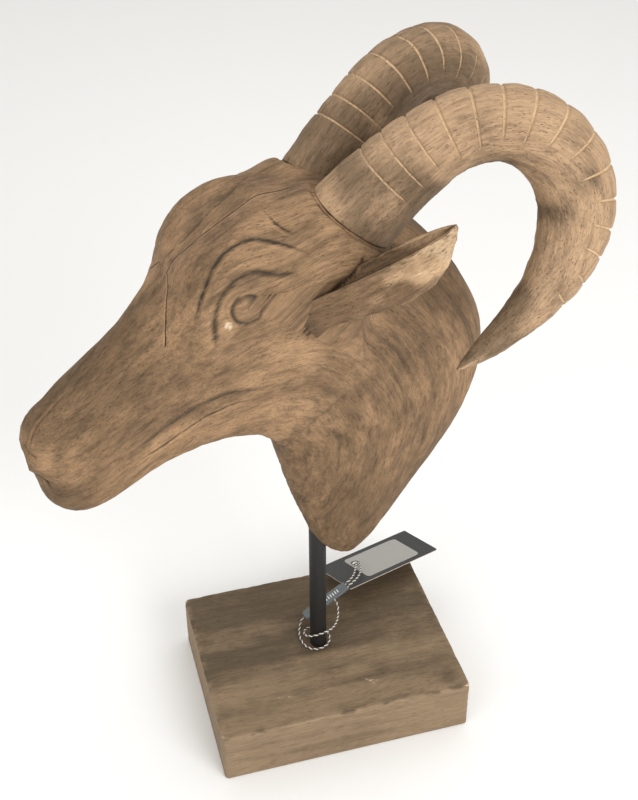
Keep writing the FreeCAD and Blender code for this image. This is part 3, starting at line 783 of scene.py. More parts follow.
@dataclass(frozen=True)
class Ear:
    """A leaf-shaped ear: rings with a hollow top between two rims and a deep round back."""

    side: int = 1
    root: tuple[float, float, float] = (28.5, 38.5, 235.0)
    tip: tuple[float, float, float] = (-47.0, 82.0, 291.0)
    width: float = 20.0
    depth: float = 31.0
    hollow: float = 0.25
    most_worn: float = 0.8
    stations: tuple[tuple[float, float, float], ...] = (
        (0.0, 0.55, 0.84), (0.14, 0.62, 0.80), (0.30, 0.84, 0.86), (0.45, 0.95, 0.93), (0.60, 1.0, 0.96),
        (0.74, 0.95, 0.87), (0.86, 0.72, 0.64), (0.94, 0.44, 0.36), (1.0, 0.08, 0.08),
    )
    rows: int = 260
    columns: int = 150

    def axes(self) -> tuple[np.ndarray, np.ndarray, np.ndarray, float]:
        """Unit vectors along the ear, outwards from its rims and upwards, and its length."""
        run = np.array(self.tip) - np.array(self.root)
        along = run / np.linalg.norm(run)
        outwards = rows_of(np.cross([0.0, 0.0, 1.0], along))
        outwards = outwards * np.sign(outwards[1])
        upwards = rows_of(np.cross(along, outwards))
        upwards = upwards * np.sign(upwards[2])
        return along, outwards, upwards, float(np.linalg.norm(run))

    def sizes(self, shares: np.ndarray) -> tuple[np.ndarray, np.ndarray]:
        """Half width and depth at shares of the ear's length, on a smooth curve through the stations."""
        rows = through(self.stations, 8)
        return (
            np.interp(shares, rows[:, 0], rows[:, 1]) * self.width / 2.0,
            np.interp(shares, rows[:, 0], rows[:, 2]) * self.depth,
        )

    def nearness(self, points: np.ndarray) -> np.ndarray:
        """Below 1 inside the ear, 1 on its skin and more outside, measured across the ear."""
        along, outwards, upwards, length = self.axes()
        reach = points - np.array(self.root)
        share = reach @ along / length
        half, depth = self.sizes(held(share))
        up = reach @ upwards
        across = reach @ outwards / half
        below = np.hypot(across, up / depth)
        sunk = -2.0 * half * self.hollow * np.clip(1.0 - across**2, 0.0, 1.0)
        value = np.where(up < sunk, below, np.maximum(np.abs(across), 1.0 + (up - sunk) / 18.0))
        return value + 4.0 * np.maximum(0.0, -share - 0.01) + 4.0 * np.maximum(0.0, share - 0.9)

    def build(self) -> bpy.types.Object:
        """Make the ear.

        A ring's lower half is a slightly squared oval. Its upper half sinks between the rims in a deep hollow,
        with narrow ridges left by the gouge.
        """
        along, outwards, upwards, length = self.axes()
        shares = np.linspace(0.0, 1.0, self.rows)
        half, depth = self.sizes(shares)
        half, depth = half - 0.3, depth - 0.3
        angle = circle(self.columns)
        across, lift = np.cos(angle)[None, :], np.sin(angle)[None, :]
        deeper = self.hollow + 0.16 * ease(0.1, 0.4, shares)[:, None]
        sunk = -2.0 * half[:, None] * deeper * (1.0 - across**2) ** 0.8
        ridges = 0.35 * np.sin(across * 17.0 + 2.0 * shares[:, None]) * (lift > 0) * (1.0 - across**2)
        lower = -depth[:, None] * np.abs(lift) ** 0.9
        height = np.where(lift >= 0, sunk + ridges * np.minimum(1.0, half[:, None] / 6.0), lower)
        where = np.stack(np.broadcast_arrays(half[:, None] * across, height, shares[:, None] * length), -1)
        chatter = 0.35 * (1.0 + noise(where, (4.0, 4.0, 11.0), 31))
        chatter += 0.25 * (1.0 + noise(where, (2.0, 2.0, 5.0), 32))
        chatter *= np.minimum(1.0, half / 5.0)[:, None]
        squeeze = 1.0 - chatter / np.maximum(half[:, None], 2.0)
        middle = -0.35 * depth[:, None]
        narrowed = middle + (height - middle) * np.where(height < middle, squeeze, 1.0)
        height = np.where(lift < 0, narrowed, height)
        points = (
            np.array(self.root)
            + along * (shares * length)[:, None, None]
            + outwards * (half[:, None] * across * np.where(lift < 0, squeeze, 1.0))[..., None]
            + upwards * height[..., None]
        )
        rim = hump(np.abs(lift) * half[:, None], 1.3)
        # Painted shade in the hollow between the rims, less on the rims, and deepest in the hollow at the root.
        soil = ease(0.0, 0.5, lift) * (0.30 + 0.18 * noise(where, (1.6, 6.0, 14.0), 33)) * (1.0 - 0.7 * rim)
        soil = soil + 0.55 * (1.0 - ease(0.0, 0.16, shares))[:, None]
        worn = np.where(lift < 0, ease(0.62, 0.95, shares)[:, None], 0.0)
        worn = worn + 0.5 * rim * ease(0.3, 0.7, shares)[:, None]
        tone = 0.36 + 0.90 * ease(0.85, 0.25, shares)[:, None] + 0.65 * noise(where, (8.0, 8.0, 15.0), 34)
        # Painted shade: the upper, hollow face is drawn darker than the lower one, and the root end is darker.
        tone = tone + 0.15 * (lift > 0)
        values = {"grain": where + 900.0, "soil": held(soil), "tone": held(tone)}
        values["worn"] = np.clip(worn, 0.0, self.most_worn)
        name = "left_ear_carved" if self.side > 0 else "right_ear_carved"
        return closed_grid(name, STAND.from_head(mirrored(points, self.side)), values)


@dataclass(frozen=True)
class Groove:
    """A line cut into the head, with a swelling along its outer side, fading at its ends.

    Its fine layer says in which of two sets the material draws its crisp middle, a painted shadow line, so
    that lines which meet are in different sets. Its trough is darkened with grime and painted shade.
    """

    points: tuple[tuple[float, float, float], ...]
    width: float
    depth: float
    swell: float = 0.0
    # How dark the trough is drawn: grime and painted shade in the cut.
    trough_grime_and_shade: float = 0.5
    both_sides: bool = True
    fade: float = 0.12
    layer: int = 0
    crisp: float = 0.6

    def place(self, points: np.ndarray, normals: np.ndarray) -> tuple[np.ndarray, np.ndarray]:
        """Where points stand beside the line.

        Args:
            points: the head's points.
            normals: their outward unit normals.

        Returns:
            The distance across the line, above nothing on its outer side, and the line's strength there, which
            is nothing further off than about a centimetre.
        """
        flip = np.ones_like(points)
        if self.both_sides:
            flip[..., 1] = np.where(points[..., 1] < 0, -1.0, 1.0)
        here, out = points * flip, normals * flip
        line = through(self.points, 12)
        tangents = rows_of(np.gradient(line, axis=0))
        close = ((here > line.min(0) - 12.0) & (here < line.max(0) + 12.0)).all(-1)
        gaps = np.linalg.norm(here[close][:, None] - line[None], axis=-1)
        nearest = gaps.argmin(1)
        side = rows_of(np.cross(out[close], tangents[nearest]))
        share = nearest / (len(line) - 1)
        strength = ease(0.0, self.fade, share) * ease(0.0, self.fade, 1.0 - share)
        strength = strength * ease(11.0, 8.0, gaps.min(1))
        offsets, strengths = np.full(points.shape[:-1], 99.0), np.zeros(points.shape[:-1])
        offsets[close] = np.einsum("ij,ij->i", here[close] - line[nearest], side)
        strengths[close] = strength
        return offsets, strengths


@dataclass(frozen=True)
class Head:
    """The carving: muzzle, face, poll and neck.

    Slanted slices run from the nose over the poll to the foot of the neck. Each gives the x and z of its upper
    or outer end, the x and z of its lower or throat end, its half width, how much wider it is at the upper
    end, and how round the two halves are (1 is an ellipse, less is squarer). Each blot of the tone gives its
    strength, the x and z of its middle and its reach: painted shade under the upper lip, the throat and the
    middle of the neck.
    """

    stations: tuple[tuple[float, ...], ...] = (
        (186, 157, 183, 131, 11, -0.10, 0.95, 0.95),
        (183, 167, 176, 117, 18, -0.15, 0.80, 0.80),
        (174, 176, 161, 104, 23, -0.20, 0.78, 0.78),
        (152, 193, 140, 107, 26, -0.20, 0.76, 0.76),
        (122, 217, 114, 122, 28, -0.15, 0.76, 0.76),
        (98, 242, 94, 129, 33, -0.05, 0.72, 0.76),
        (85, 261, 74, 133, 41, 0.14, 0.52, 0.74),
        (64, 280, 58, 133, 45, 0.14, 0.50, 0.72),
        (36, 289, 46, 131, 46, 0.10, 0.54, 0.70),
        (0, 291, 39, 125, 45, 0.0, 0.66, 0.72),
        (-48, 267, 35, 119, 42, 0.0, 0.80, 0.80),
        (-89, 222, 32, 112, 38, 0.0, 0.88, 0.88),
        (-114, 171, 29, 102, 35, 0.0, 0.92, 0.92),
        (-109, 125, 25, 85, 32, 0.0, 0.92, 0.92),
        (-88, 87, 19, 65, 28, 0.0, 0.92, 0.92),
        (-64, 53, 11, 41, 23, 0.0, 0.92, 0.92),
        (-46, 26, 4, 22, 18, 0.0, 0.92, 0.92),
        (-35, 10, -5, 9, 12, 0.0, 0.95, 0.95),
        (-28, 2, -14, 2, 6, 0.0, 1.0, 1.0),
    )
    ring_controls: int = 32
    rows: int = 350
    columns: int = 270
    eye: tuple[float, float] = (58.0, 243.0)
    blots: tuple[tuple[float, ...], ...] = (
        (1.0, 172.0, 124.0, 10.0), (-0.06, 40.0, 175.0, 34.0), (0.20, -22.0, 150.0, 48.0),
    )
    seat: HornSeat = HornSeat()
    ear: Ear = Ear()
    grooves: tuple[Groove, ...] = (
        Groove(((87.5, 37, 230), (81, 38.5, 254), (72, 35.5, 268), (62.5, 34.5, 275), (50, 35.5, 279),
                (38, 39.5, 277), (18, 41.5, 266)), 2.0, 1.7, 1.6, 0.62, fade=0.16, crisp=0.5),
        Groove(((76, 44, 217), (77, 44.5, 236), (74, 44.5, 248.5), (69, 44.5, 256), (62.5, 44.5, 262),
                (52, 45, 264.5), (42, 46, 261), (27, 45, 259)), 2.6, 2.2, 0.9, 0.66, fade=0.10, crisp=0.36),
        Groove(((39, 19.5, 287), (36.5, 29.5, 285), (32, 35.5, 282), (27, 37.5, 278.5)), 1.6, 0.8, 0.3, 0.4,
               fade=0.3, crisp=0.5),
        Groove(((126, 28, 150), (115, 29, 158.5), (97.5, 32.5, 171), (77.5, 39.5, 183.5), (60, 42.5, 187),
                (40, 43.5, 182)), 3.6, 1.6, 1.2, 0.6, fade=0.3, crisp=0.3),
        Groove(((132, 28, 141), (112, 29, 150), (95, 32, 161.5), (80, 37, 172), (66, 41, 178), (50, 43, 178)),
               1.0, 0.8, 0.5, 0.15, fade=0.25, layer=1, crisp=0.5),
        Groove(((30, 29, 131), (15.5, 36, 147.5), (-1, 39, 161), (-14, 39, 172)), 4.0, 1.1, 0.6, 0.1, fade=0.4,
               crisp=0.25),
        Groove(((91.5, 6, 251), (72, 11, 273), (54, 10.5, 284), (35, 8, 289), (13, 10.5, 291)), 0.6, 0.3, 0.0,
               0.0, False, 0.03, crisp=1.0),
        Groove(((91.5, -2, 251), (76, 0, 270), (63, -2, 280), (48, -8, 286.5), (33, -17, 289)), 1.6, 0.6, 0.3,
               0.2, False, 0.03, 1, 0.34),
        Groove(((90.5, 6, 253), (96, 17.5, 242), (100, 25, 226), (101, 27, 218)), 0.6, 0.3, 0.0, 0.0,
               True, 0.05, 1, 1.0),
        Groove(((156, 6, 189), (173, 8, 174.5), (178, 9.5, 169), (181, 11, 160)), 1.0, 0.5, 0.0, 0.2,
               crisp=0.3),
        Groove(((186, 6, 160), (183.5, 11.5, 156.5), (179, 16, 155)), 1.6, 1.2, 0.3, 0.3, crisp=0.3),
        Groove(((186, 0, 140.5), (184.5, 9, 140.5), (180, 17, 141), (177, 20, 135), (173.5, 22, 127)),
               1.8, 2.4, 0.9, 0.9, fade=0.4, crisp=0.35),
        Groove(((172, 13, 180), (150, 20, 191), (123, 23, 208), (100, 26, 228)), 2.0, 0.2, 0.9, 0.1, fade=0.25,
               layer=1, crisp=0.12),
        Groove(((164, 0, 103), (161, 14, 105), (158, 19, 108)), 1.6, 1.6, 0.2, 0.4, fade=0.1, layer=1,
               crisp=0.6),
    )

    def grid(self) -> tuple[np.ndarray, np.ndarray]:
        """The smooth carving as rings of points, and each point's place in the unbent block.

        The slices' rows of numbers are filled in by a smooth curve and are the controls of a cubic skin, closed
        round the slices. Rows lie closest over the face, and points closest round the eyes. A point's
        place in the unbent block is its y, its height across the slice and its distance along the carving, so
        the grain follows the muzzle and turns down the neck.
        """
        rows = through(self.stations, 2)
        angle = 2.0 * np.pi * np.arange(self.ring_controls) / self.ring_controls
        top_x, top_z, low_x, low_z, half, flare, top_round, low_round = (c[:, None] for c in rows.T)
        lift = np.cos(angle)[None, :]
        power = np.where(lift > 0, top_round, low_round)
        up = signed_power(np.where(np.abs(lift) < 1e-12, 0.0, lift), power)
        across = signed_power(np.sin(angle)[None, :] * np.ones_like(power), power) * (1.0 + flare * up)
        rise = (1.0 + up) / 2.0
        controls = [low_x + (top_x - low_x) * rise, half * across, low_z + (top_z - low_z) * rise]
        controls = np.stack(controls, -1)
        run = run_of((rows[:, [0, 1]] + rows[:, [2, 3]]) / 2.0)
        tall = np.hypot(top_x - low_x, top_z - low_z)
        block = np.stack([half * across, (rise - 0.5) * tall, np.broadcast_to(run[:, None], rise.shape)], -1)
        places = even_spacing(
            lambda v: 1.0 + 1.6 * ease(0.22, 0.32, v) * (1.0 - ease(0.50, 0.60, v)), self.rows, False
        )
        rounds = even_spacing(lambda a: 1.0 + 1.5 * hump(np.minimum(a, 1.0 - a) - 0.20, 0.10), self.columns, True)
        along = clamped_weights(len(rows), places)
        around = ring_weights(self.ring_controls, rounds)
        points = np.einsum("ri,cj,ijk->rck", along, around, controls)
        return points, np.einsum("ri,cj,ijk->rck", along, around, block)

    def pulled_to_horns(self, points: np.ndarray) -> np.ndarray:
        """The surface drawn up to the horns' seats: near each oval it rises along the horn's own direction.

        The least height allowed falls off steeply outside the oval, and a soft maximum joins it to the head.
        """
        away = np.array(self.seat.away) / np.linalg.norm(self.seat.away)
        for side in (1.0, -1.0):
            share, height = self.seat.place(mirrored(points, side))
            wanted = -0.4 - 46.0 * ease(1.04, 2.1, share) ** 1.15 - 4.0 * np.maximum(0.0, share - 1.0)
            softness = 2.5
            lifted = np.logaddexp(height / softness, wanted / softness) * softness
            rise = np.where((share < 2.4) & (height < 25.0) & (height > -60.0), lifted - height, 0.0)
            rise = rise * ease(2.4, 1.9, share)
            points = points + rise[..., None] * mirrored(away, side)
        return points

    def eye_shape(self, points: np.ndarray) -> tuple[np.ndarray, np.ndarray, np.ndarray]:
        """How far the eye stands out at each point, how much darker it is drawn in the ring and above the eye,
        and its pale corner.

        A wide dent holds a low dome with a ring cut round it; a small boss stands in its middle.
        """
        on_side = ease(34.0, 40.0, np.abs(points[..., 1]))
        x, z = points[..., 0] - self.eye[0], points[..., 2] - self.eye[1]
        out = np.hypot(x, z * 0.96)
        rugged = out + 0.8 * noise(points, 5.0, 41)
        dent = -2.6 * hump(out, 16.0)
        dome = 3.6 * np.clip(1.0 - (rugged / 12.5) ** 2, 0.0, 1.0) ** 0.7
        ring = hump(rugged - 8.6, 1.6)
        boss = 1.3 * hump(rugged, 3.4)
        corner = hump(np.hypot(x - 11.0, (z + 9.0) * 0.7), 4.2)
        lash = hump(np.hypot(x + 6.0, z - 15.0), 3.6)
        raised = (dent + dome - 1.5 * ring + boss - 0.8 * corner) * on_side
        return raised, np.clip(0.80 * ring + 0.40 * lash, 0, 1) * on_side, corner * on_side

    def creases(self, block: np.ndarray) -> np.ndarray:
        """Shallow furrows along the grain, which are cut into the skin and hold more of the wash."""
        return held(1.0 - 2.6 * np.abs(noise(block, (15.0, 15.0, 44.0), 26)))

    def wash_and_shade(self, block: np.ndarray, points: np.ndarray) -> np.ndarray:
        """How dark the wash lies: more on the foot, in clouds drawn along the grain, with painted shade on the
        muzzle's top plane, the forehead's top, the nape under the ear and under the upper lip.
        """
        x, y, z = points[..., 0], points[..., 1], points[..., 2]
        clouds = 0.55 * noise(block, (30.0, 22.0, 60.0), 61) + 0.45 * noise(block, (11.0, 9.0, 26.0), 62)
        # Painted shade: the muzzle's top plane is drawn darker, as a face turned up away from the light.
        shaded_top_plane = ease(-4.0, 6.0, block[..., 1] - 0.30 * (75.0 - 0.3 * block[..., 2])) * ease(100.0, 120.0, x)
        # Painted shade on the nape under the ear.
        nape = ease(20.0, -60.0, x) * ease(150.0, 230.0, z)
        foot = ease(150.0, 60.0, z) * ease(60.0, 20.0, x)
        # Painted shade on the forehead's top.
        brow = hump(np.hypot(x - 60.0, z - 290.0), 26.0) * ease(30.0, 5.0, np.abs(y))
        tone = 0.48 + 0.34 * (clouds + foot) + 0.26 * shaded_top_plane + 0.22 * (nape + brow)
        tone += 0.16 * self.creases(block)
        tone += 0.10 * ease(90.0, 150.0, x)
        # The first blot is painted shade under the upper lip.
        for strength, middle_x, middle_z, reach in self.blots:
            tone += strength * hump(np.hypot(x - middle_x, z - middle_z), reach)
        tone += 0.7 * hump(np.linalg.norm(points - np.array([-18.0, 38.0, 285.0]), axis=-1), 7.0)
        return held(tone)

    def build(self) -> bpy.types.Object:
        """Make the head: the smooth skin, drawn up to the horns, then cut and roughened along its normals."""
        points, block = self.grid()
        points = self.pulled_to_horns(points)
        normals = grid_normals(points)
        out = np.zeros(points.shape[:-1])
        soil = np.zeros_like(out)
        layers = [np.zeros(points.shape), np.zeros(points.shape)]
        for groove in self.grooves:
            offset, strength = groove.place(points, normals)
            trough = hump(offset, groove.width) * strength
            outer = np.exp(-np.abs(offset) / np.where(offset > 0, 5.0, 1.2)) * strength
            out += groove.swell * outer - groove.depth * trough
            # Grime and painted shade along each groove's trough.
            soil = np.maximum(soil, trough * groove.trough_grime_and_shade)
            layer = layers[groove.layer]
            drawn = strength * ease(4.2, 3.0, np.abs(offset)) * groove.crisp
            here = drawn > layer[..., 1]
            layer[here] = np.stack([offset, drawn, np.full_like(offset, 0.45 * groove.width)], -1)[here]
        raised, eye_darkening, corner = self.eye_shape(points)
        out += raised
        soil = np.maximum(soil, eye_darkening)
        x, z = points[..., 0], points[..., 2]
        lower_lip = ease(141.0, 138.0, z) * ease(168.0, 180.0, x) * ease(118.0, 132.0, z)
        out -= 2.2 * lower_lip
        # Painted shade under the upper lip, over the set-back lower lip.
        soil = np.maximum(soil, 0.5 * hump(np.hypot(x - 170.0, z - 129.0), 7.0))
        out += 2.2 * hump(np.linalg.norm(points - np.array([66.0, 0.0, 279.0]), axis=-1) - 31.0, 9.0)
        for side in (1.0, -1.0):
            flipped = mirrored(points, side)
            share, height = self.seat.place(flipped)
            joint = hump((share - 1.03) * 24.0, 1.0) * ease(-4.0, -1.5, height) * ease(4.0, 1.5, height)
            out -= 0.9 * joint
            soil = np.maximum(soil, joint * (0.35 + 0.45 * ease(-0.2, 0.3, noise(points, 11.0, 44))))
            near = self.ear.nearness(flipped)
            out -= 2.6 * hump(near - 1.03, 0.13)
            soil = np.maximum(soil, hump(near - 1.02, 0.06))
        broad = noise(block, (13.0, 13.0, 26.0), 21)
        strokes = noise(block, (3.2, 3.2, 9.0), 22)
        fine = noise(block, (1.7, 1.7, 4.5), 23)
        inside_nose = ease(178.0, 184.0, points[..., 0])
        rough = 0.55 * broad - 0.45 * self.creases(block) + 0.28 * strokes + 0.14 * fine
        out += rough * (1.0 - 0.9 * inside_nose) - 0.25 - 0.6 * inside_nose
        points = points + normals * out[..., None]
        bump = np.clip(0.5 * strokes + 0.6 * noise(block, 9.0, 25), 0, 1)
        worn = np.clip(1.1 * corner + 0.22 * bump, 0.0, 1.0)
        values = {"grain": block, "soil": held(soil), "worn": worn, "tone": self.wash_and_shade(block, points)}
        values.update(carve_a=layers[0], carve_b=layers[1])
        return closed_grid("head_carved", STAND.from_head(points), values)


@dataclass(frozen=True)
class Base:
    """The wooden block: a rounded rectangle carried up a profile, its edges worn and nicked."""

    length: float = 180.0
    depth: float = 140.0
    height: float = 42.0
    corner: float = 3.0
    edge: float = 1.5
    around: int = 560
    strokes: tuple[tuple[tuple[int, int], tuple[int, int]], ...] = (
        ((-47, -43), (-41, -45)), ((-38, -45), (-33, -46)), ((18, -42), (25, -50)), ((21, -45), (28, -48)),
    )

    def outline(self) -> tuple[np.ndarray, np.ndarray]:
        """Points and outward directions round the block: four straight sides joined by quarter circles."""
        half = np.array([self.length, self.depth]) / 2.0 - self.corner
        quarter = 14
        straight = [(self.around - 4 * quarter) // 4] * 4
        points, outward = [], []
        for k, (sx, sy) in enumerate(((1, -1), (1, 1), (-1, 1), (-1, -1))):
            centre = half * np.array([sx, sy])
            turn = math.pi / 2 * (k - 1) + np.linspace(0.0, math.pi / 2, quarter)
            way = np.stack([np.cos(turn), np.sin(turn)], -1)
            points.append(centre + way * self.corner)
            outward.append(way)
            following = half * np.array([(1, 1), (-1, 1), (-1, -1), (1, -1)][k])
            share = np.linspace(0.0, 1.0, straight[k] + 2)[1:-1, None]
            points.append(points[-1][-1] + (following + way[-1] * self.corner - points[-1][-1]) * share)
            outward.append(np.repeat(way[-1:], len(share), axis=0))
        return np.vstack(points), np.vstack(outward)

    def build(self) -> bpy.types.Object:
        """Make the block.

        The profile starts at the middle of the top, runs out to the edge, turns down over a quarter circle and
        closes under the block in the same way. Wear takes a little off along the edges and corners.
        """
        rim, outward = self.outline()
        centre = np.array([STAND.rod_x, 0.0])
        steps = 8
        turn = np.linspace(0.0, math.pi / 2, steps)
        shares = np.linspace(0.03, 1.0, 58)
        top = [(share, 0.0, self.height) for share in shares[:-1]]
        bend = [(1.0, self.edge * math.sin(a), self.height - self.edge * (1 - math.cos(a))) for a in turn]
        wall = [(1.0, self.edge, z) for z in np.linspace(self.height - self.edge, self.edge, 34)[1:-1]]
        under = [(1.0, self.edge * math.cos(a), self.edge * (1 - math.sin(a))) for a in turn]
        floor = [(share, 0.0, 0.0) for share in shares[:-1][::-1]]
        rows = np.array(top + bend + wall + under + floor)
        inner = rim - outward * self.edge
        flat = centre + (inner[None] - centre) * rows[:, 0][:, None, None]
        flat = flat + outward[None] * rows[:, 1][:, None, None]
        points = np.concatenate([flat, np.broadcast_to(rows[:, 2][:, None, None], flat.shape[:2] + (1,))], -1)
        down = self.height - points[..., 2]
        end_gap = self.length / 2 - np.abs(points[..., 0])
        side_gap = self.depth / 2 - np.abs(points[..., 1])
        near_top = hump(down, 2.6) * hump(np.minimum(end_gap, side_gap), 2.6)
        post = np.minimum(hump(end_gap, 3.0), hump(side_gap, 3.0))
        nicks = held(noise(points, 3.0, 51)) + held(noise(points, 8.0, 52))
        wear = near_top * (0.20 + 0.35 * nicks) + post * (0.15 + 0.25 * nicks)
        saw = 0.08 * (1.0 + noise(points, (34.0, 4.5, 2.2), 53))
        saw += 0.06 * (1.0 + noise(points, (11.0, 1.6, 1.2), 54))
        low = ease(1.0, 6.0, points[..., 2])
        pull = points - np.array([0.0, 0.0, self.height / 2])
        pull = pull / np.array([self.length / 2, self.depth / 2, self.height / 2])
        way = rows_of(signed_power(pull, np.full(pull.shape, 9.0)))
        points = points - way * (wear + saw * 0.5)[..., None] * low[..., None]
        front_edge = hump(down, 3.5) * hump(self.depth / 2 + points[..., 1], 4.5)
        broken = noise(points, (9.0, 3.0, 3.0), 55) + 0.5 * noise(points, (3.0, 2.0, 2.0), 56)
        broken = ease(-0.25, 0.45, broken)
        by_rod = hump(np.hypot(points[..., 0] - STAND.rod_x, points[..., 1]), 17.0)
        foot = by_rod * ease(38.0, 41.0, points[..., 2])
        top_face = ease(39.5, 41.2, points[..., 2])
        # Darker along the broken front edge and round the rod's foot; the top face is drawn a little darker as
        # painted shade.
        soil = 0.42 * front_edge * broken + 0.30 * foot + top_face * 0.12
        worn = held(0.8 * near_top * (1 - broken) + 0.5 * post + self.scratches(points) * top_face)
        drift = points[..., 1] + 6.0 * noise(points, (60.0, 60.0, 60.0), 57) - 0.10 * points[..., 0]
        bands = noise(points * np.array([1.0, 1.0, 0.3]), (70.0, 7.0, 7.0), 58)
        # Painted shade: the top face takes more of the tone than the sides; it also grows darker towards the back
        # and in bands.
        tone = top_face * (0.22 + 0.62 * ease(-28.0, 4.0, drift) + 0.35 * bands)
        tone = tone + 0.25 * (1.0 - top_face) * (0.5 + bands)
        tone = tone + 0.5 * hump(np.hypot(points[..., 0] - 78.0, points[..., 1] + 58.0), 9.0) * top_face
        tone = tone + 0.16 * ease(0.0, 50.0, points[..., 0]) * top_face
        values = {"soil": held(soil), "worn": worn, "tone": held(tone)}
        return closed_grid("base_block_worn", points, values)

    def scratches(self, points: np.ndarray) -> np.ndarray:
        """Pale scratches on the top: short lines, each the distance to a stroke between two places."""
        total = np.zeros(points.shape[:-1])
        for ends in self.strokes:
            start, end = np.array(ends)
            run = end - start
            reach = points[..., :2] - start
            share = np.clip(reach @ run / (run @ run), 0.0, 1.0)
            gap = np.linalg.norm(reach - share[..., None] * run, axis=-1)
            total += hump(gap, 0.7)
        return held(total)


@dataclass(frozen=True)
class SwingTag:
    """The card, its label, the flat seal and the stopper knot, placed from the rod's foot."""

    length: float = 88.0
    width: float = 40.0
    thickness: float = 0.5
    centre: tuple[float, float, float] = (66.2, 61.1, 9.6)
    yaw: float = 21.4
    pitch: float = -6.0
    roll: float = -11.2
    hole: tuple[float, float] = (-17.7, 6.7)
    hole_radius: float = 2.5
    label: tuple[float, float] = (52.0, 31.0)
    label_along: float = 3.0
    label_thickness: float = 0.15
    label_round: float = 3.0
    seal_start: tuple[float, float, float] = (-4.3, 22.5, 4.6)
    seal_end: tuple[float, float, float] = (30.3, 30.2, 20.0)
    seal_across: tuple[float, float, float] = (0.173, -0.980, 0.099)
    seal_width: float = 9.0
    seal_thickness: float = 2.2
    knot_clearance: float = 0.6
    knot_drop: float = 1.45
    knot_yarn: float = 0.62
    knot_sides: int = 12

    def axes(self) -> np.ndarray:
        """Unit vectors along the card, across it and out of its upper face, one row each."""
        yaw, pitch, roll = (math.radians(a) for a in (self.yaw, self.pitch, self.roll))
        along = np.array([math.cos(yaw) * math.cos(pitch), math.sin(yaw) * math.cos(pitch), math.sin(pitch)])
        flat = np.array([-math.sin(yaw), math.cos(yaw), 0.0])
        across = flat * math.cos(roll) + np.cross(along, flat) * math.sin(roll)
        return np.stack([along, across, np.cross(along, across)])

    def on_card(self, places: np.ndarray) -> np.ndarray:
        """Places along, across and above the card's lower face, in the row frame."""
        return STAND.from_rod_foot(np.array(self.centre)) + np.asarray(places, float) @ self.axes()

    def plate(
        self, name: str, size: tuple[float, float], middle: float, low: float, high: float, rounding: float,
        hole: float,
    ) -> bpy.types.Object:
        """A thin plate with rounded corners and a round hole.

        Rings run from the hole out to the rounded outline, each point at its own angle about the hole. The grid
        goes over the top, round the edge and back underneath, and closes on itself through the hole.
        """
        columns, rings = 240, 22
        angle = circle(columns)
        way = np.stack([np.cos(angle), np.sin(angle)], -1)
        seat = np.array(self.hole)
        half = np.array(size) / 2.0
        reach = np.full(columns, 1e9)
        for k in (0, 1):
            for sign in (1.0, -1.0):
                wall = sign * half[k] + (middle if k == 0 else 0.0) - seat[k]
                step = np.where(way[:, k] == 0, 1e-9, way[:, k])
                reach = np.minimum(reach, np.where(way[:, k] * sign > 1e-9, wall / step, 1e9))
        corner_centres = np.array([[middle + sx * (half[0] - rounding), sy * (half[1] - rounding)]
                                   for sx in (1, -1) for sy in (1, -1)])
        outer = seat + way * reach[:, None]
        if rounding > 0:
            for centre in corner_centres:
                past = (outer - centre) * np.sign(centre - np.array([middle, 0.0]))
                inside = (past > 0).all(-1)
                gap = np.linalg.norm(outer - centre, axis=-1, keepdims=True)
                outer = np.where(inside[:, None], centre + (outer - centre) / gap * rounding, outer)
        inner = seat + way * hole
        shares = np.linspace(0.0, 1.0, rings)[:, None, None]
        face = inner[None] + (outer - inner)[None] * shares
        upper, lower = (np.concatenate([face, np.full(face.shape[:2] + (1,), z)], -1) for z in (high, low))
        points = self.on_card(np.concatenate([upper, lower[::-1]]).reshape(-1, 3))
        made = mesh_object(name, points, [looped_faces(2 * rings, columns)])
        edge = np.zeros(2 * rings * columns, int)
        edge[(rings - 1) * columns : rings * columns] = 1
        edge[-columns:] = 1
        made.data.polygons.foreach_set("material_index", edge.astype(np.int32))
        made.data.polygons.foreach_set("use_smooth", np.zeros(len(edge), bool))
        return made

    def seal_axes(self) -> tuple[np.ndarray, np.ndarray, np.ndarray, float]:
        """Unit vectors along the seal, across it and out of its upper face, and its length."""
        run = np.array(self.seal_end) - np.array(self.seal_start)
        along = run / np.linalg.norm(run)
        across = np.array(self.seal_across)
        across = rows_of(across - along * (across @ along))
        return along, across, np.cross(across, along), float(np.linalg.norm(run))

    def seal(self) -> bpy.types.Object:
        """The flat seal: a rounded section carried along it, with a raised rim and a waist at each end."""
        along, across, out, length = self.seal_axes()
        ends = 0.7 * (1.0 - np.cos(np.linspace(0.0, math.pi / 2, 6)))
        places = np.concatenate([ends, np.linspace(0.9, length - 0.9, 60), length - ends[::-1]])
        angle = circle(96)
        power = np.full(angle.shape, 0.32)
        wide, thick = signed_power(np.cos(angle), power), signed_power(np.sin(angle), power)
        near_end = np.minimum(places, length - places)
        shrink = np.where(near_end < 0.7, 1.0 - 0.18 * (1.0 - near_end / 0.7) ** 2, 1.0)
        waist = 1.0 - 0.10 * hump(near_end - 2.6, 0.9)
        half = self.seal_width / 2 * shrink * waist
        panel = 0.22 * ease(3.4, 4.2, near_end)[:, None] * ease(0.80, 0.70, np.abs(wide)) * (thick > 0)
        lift = self.seal_thickness / 2 * shrink[:, None] * thick[None, :] - panel
        start = STAND.from_rod_foot(np.array(self.seal_start))
        points = (
            start + along * places[:, None, None] + across * (half[:, None] * wide[None, :])[..., None]
            + out * lift[..., None]
        )
        return closed_grid("tag_seal_moulded", points)

